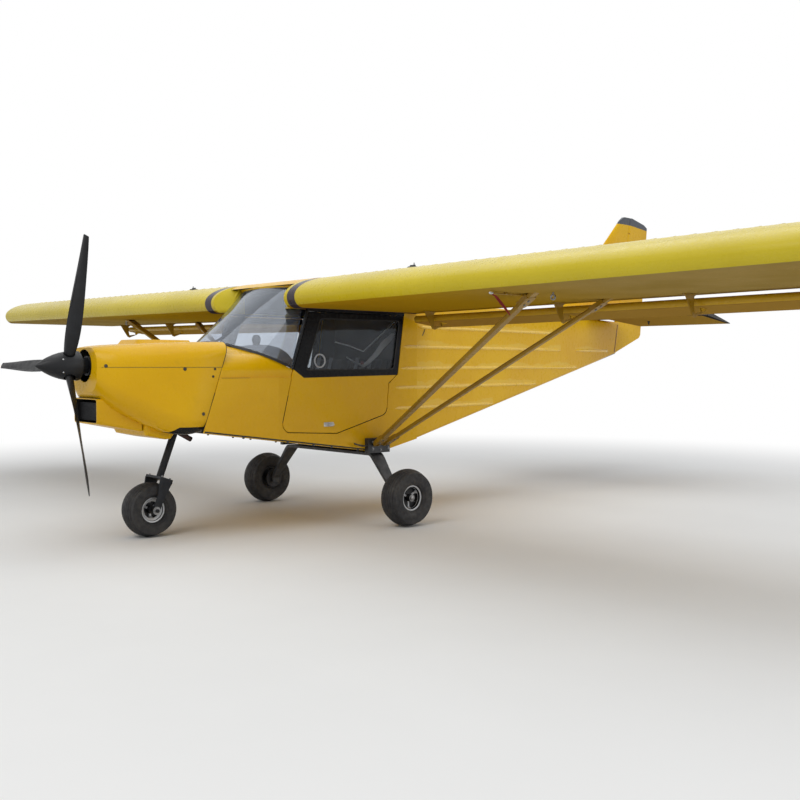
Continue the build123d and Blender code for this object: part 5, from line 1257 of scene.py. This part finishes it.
# Shoulder straps that hang across the left seat, one thin and one crumpled
CORD = ((-0.280, 1.297), (-0.155, 1.274), (-0.014, 1.233), (0.145, 1.349), (0.300, 1.459))
STRAP = (  # station, height, half width
    (-0.170, 1.188, 0.006), (-0.098, 1.155, 0.007), (-0.015, 1.127, 0.011), (0.066, 1.170, 0.015),
    (0.125, 1.228, 0.021), (0.185, 1.282, 0.024), (0.245, 1.330, 0.021), (0.290, 1.365, 0.012),
)
straps, strap_clip = Heap(), Heap()
straps.tube([point(0.395, aft, z) for aft, z in CORD], 0.0045)
rings = []
for i, (aft, z, wide) in enumerate(STRAP):
    sway = 0.006 * (-1) ** i
    section = ((0.392, 1), (0.398, 0), (0.392, -1), (0.388, -1), (0.393, 0), (0.388, 1))
    shifted = ((x + (sway if side else -sway), side) for x, side in section)
    rings.append([point(x, aft + wide * 0.5 * side, z - wide * side) for x, side in shifted])
straps.loops(rings)
strap_cloth = plastic("strap_cloth", rgb(228, 230, 232), rgb(240, 241, 242), (0.7, 0.85), 500.0, 0.4)
straps.make("shoulder_straps", strap_cloth)
strap_clip.block(point(0.393, -0.024, 1.150), (0.012, 0.030, 0.026), edge=0.004)
strap_clip.make("strap_clip", plastic("clip_red", rgb(120, 24, 34), rgb(150, 44, 50), (0.4, 0.55)))

# Trim horn below the elevator, pin at the rudder foot, and dark marks of painted shade for the slots in the
# rear fuselage
horn, rudder_pin, slot_shade_strips = Heap(), Heap(), Heap()
p = from_below(tree_of("elevator"), 1, 0.45, 3.62)[0]
plate = ((-0.022, 0.004), (0.022, 0.004), (0.008, -0.034), (-0.006, -0.034))
horn.loops([[p + Vector((dx, dy, dz)) for dy, dz in plate] for dx in (-0.0015, 0.0015)])
horn.lathe(p + Vector((-0.006, 0.001, -0.027)), X, ((0, 0.004), (0.012, 0.004)), 12)
horn.make("trim_horn", black_steel, "elevator_unit")
rudder_pin.lathe(point(0, 3.640, 1.262), (0, 0.15, -1), ((0, 0.008), (0.02, 0.008), (0.028, 0.005)), 14)
rudder_pin.make("rudder_pin", black_steel)
for _, sign in SIDES:
    for start, end, wide in (((0.540, 1.431), (0.497, 1.357), 0.009), ((0.526, 1.622), (0.528, 1.575), 0.007)):
        slot_shade_strips.side_ribbon(boom_tree, sign, [start, end], wide, 0.0008)
    slot_shade_strips.stud(from_side(boom_tree, sign, 0.452, 1.462), 0.006, 0.0008, 12)
slot_shade_strips.make("slot_shade_strips", seal_rubber)

# ---- stage and light

WHITE = (1, 1, 1, 1)
FLOOR_CORNERS = ((-120, -120, 0), (120, -120, 0), (120, 120, 0), (-120, 120, 0))
s = Shade("floor")
s.set(Base_Color=s.mix(s.noise(2.0, 4.0), rgb(234, 234, 232), rgb(238, 238, 236)))
s.set(Roughness=0.9, Specular_IOR_Level=0.1)
square = s.plus(s.math("POWER", s.x, 2.0), s.math("POWER", s.minus(s.y, -0.5), 2.0))
fade = s.step(s.math("SQRT", square), 3.6, 8.6)
s.feed(s.blend(s.times(fade, s.seen()), s.bsdf, s.node("Emission", Color=WHITE)).outputs[0], s.out)
floor_mesh = bpy.data.meshes.new("floor")
floor_mesh.from_pydata(FLOOR_CORNERS, [], [(0, 1, 2, 3)])
floor_mesh.materials.append(s.mat)
floor = bpy.data.objects.new("floor", floor_mesh)
bpy.context.scene.collection.objects.link(floor)

world = bpy.data.worlds.new("studio")
bpy.context.scene.world = world
world.use_nodes = True
w = Graph(world.node_tree)
background = w.tree.nodes["Background"]
w.feed((0.93, 0.95, 1.0, 1.0), background.inputs["Color"])
w.feed(0.34, background.inputs["Strength"])
sky = w.blend(w.seen(), background, w.node("Background", Color=WHITE, Strength=1.0))
w.feed(sky.outputs[0], w.tree.nodes["World Output"].inputs["Surface"])

for name, place, target, size, watts, colour in (
    ("sky", (0.0, 0.3, 9.0), (0.0, 0.3, 0.0), 11.0, 480.0, (0.97, 0.985, 1.0)),
    ("key", (2.0, -8.0, 6.5), (0.2, -0.5, 1.0), 5.0, 230.0, (1.0, 0.98, 0.95)),
    ("fill", (8.0, 1.5, 3.5), (0.0, 0.5, 1.0), 5.0, 120.0, (0.97, 0.98, 1.0)),
):
    data = bpy.data.lights.new(name, "AREA")
    data.shape, data.size, data.energy, data.color = "SQUARE", size, watts, colour
    lamp = bpy.data.objects.new(name, data)
    bpy.context.scene.collection.objects.link(lamp)
    lamp.location = place
    lamp.rotation_mode = "QUATERNION"
    lamp.rotation_quaternion = (Vector(target) - Vector(place)).to_track_quat("-Z", "Y")

bpy.context.scene.view_settings.view_transform = "Standard"
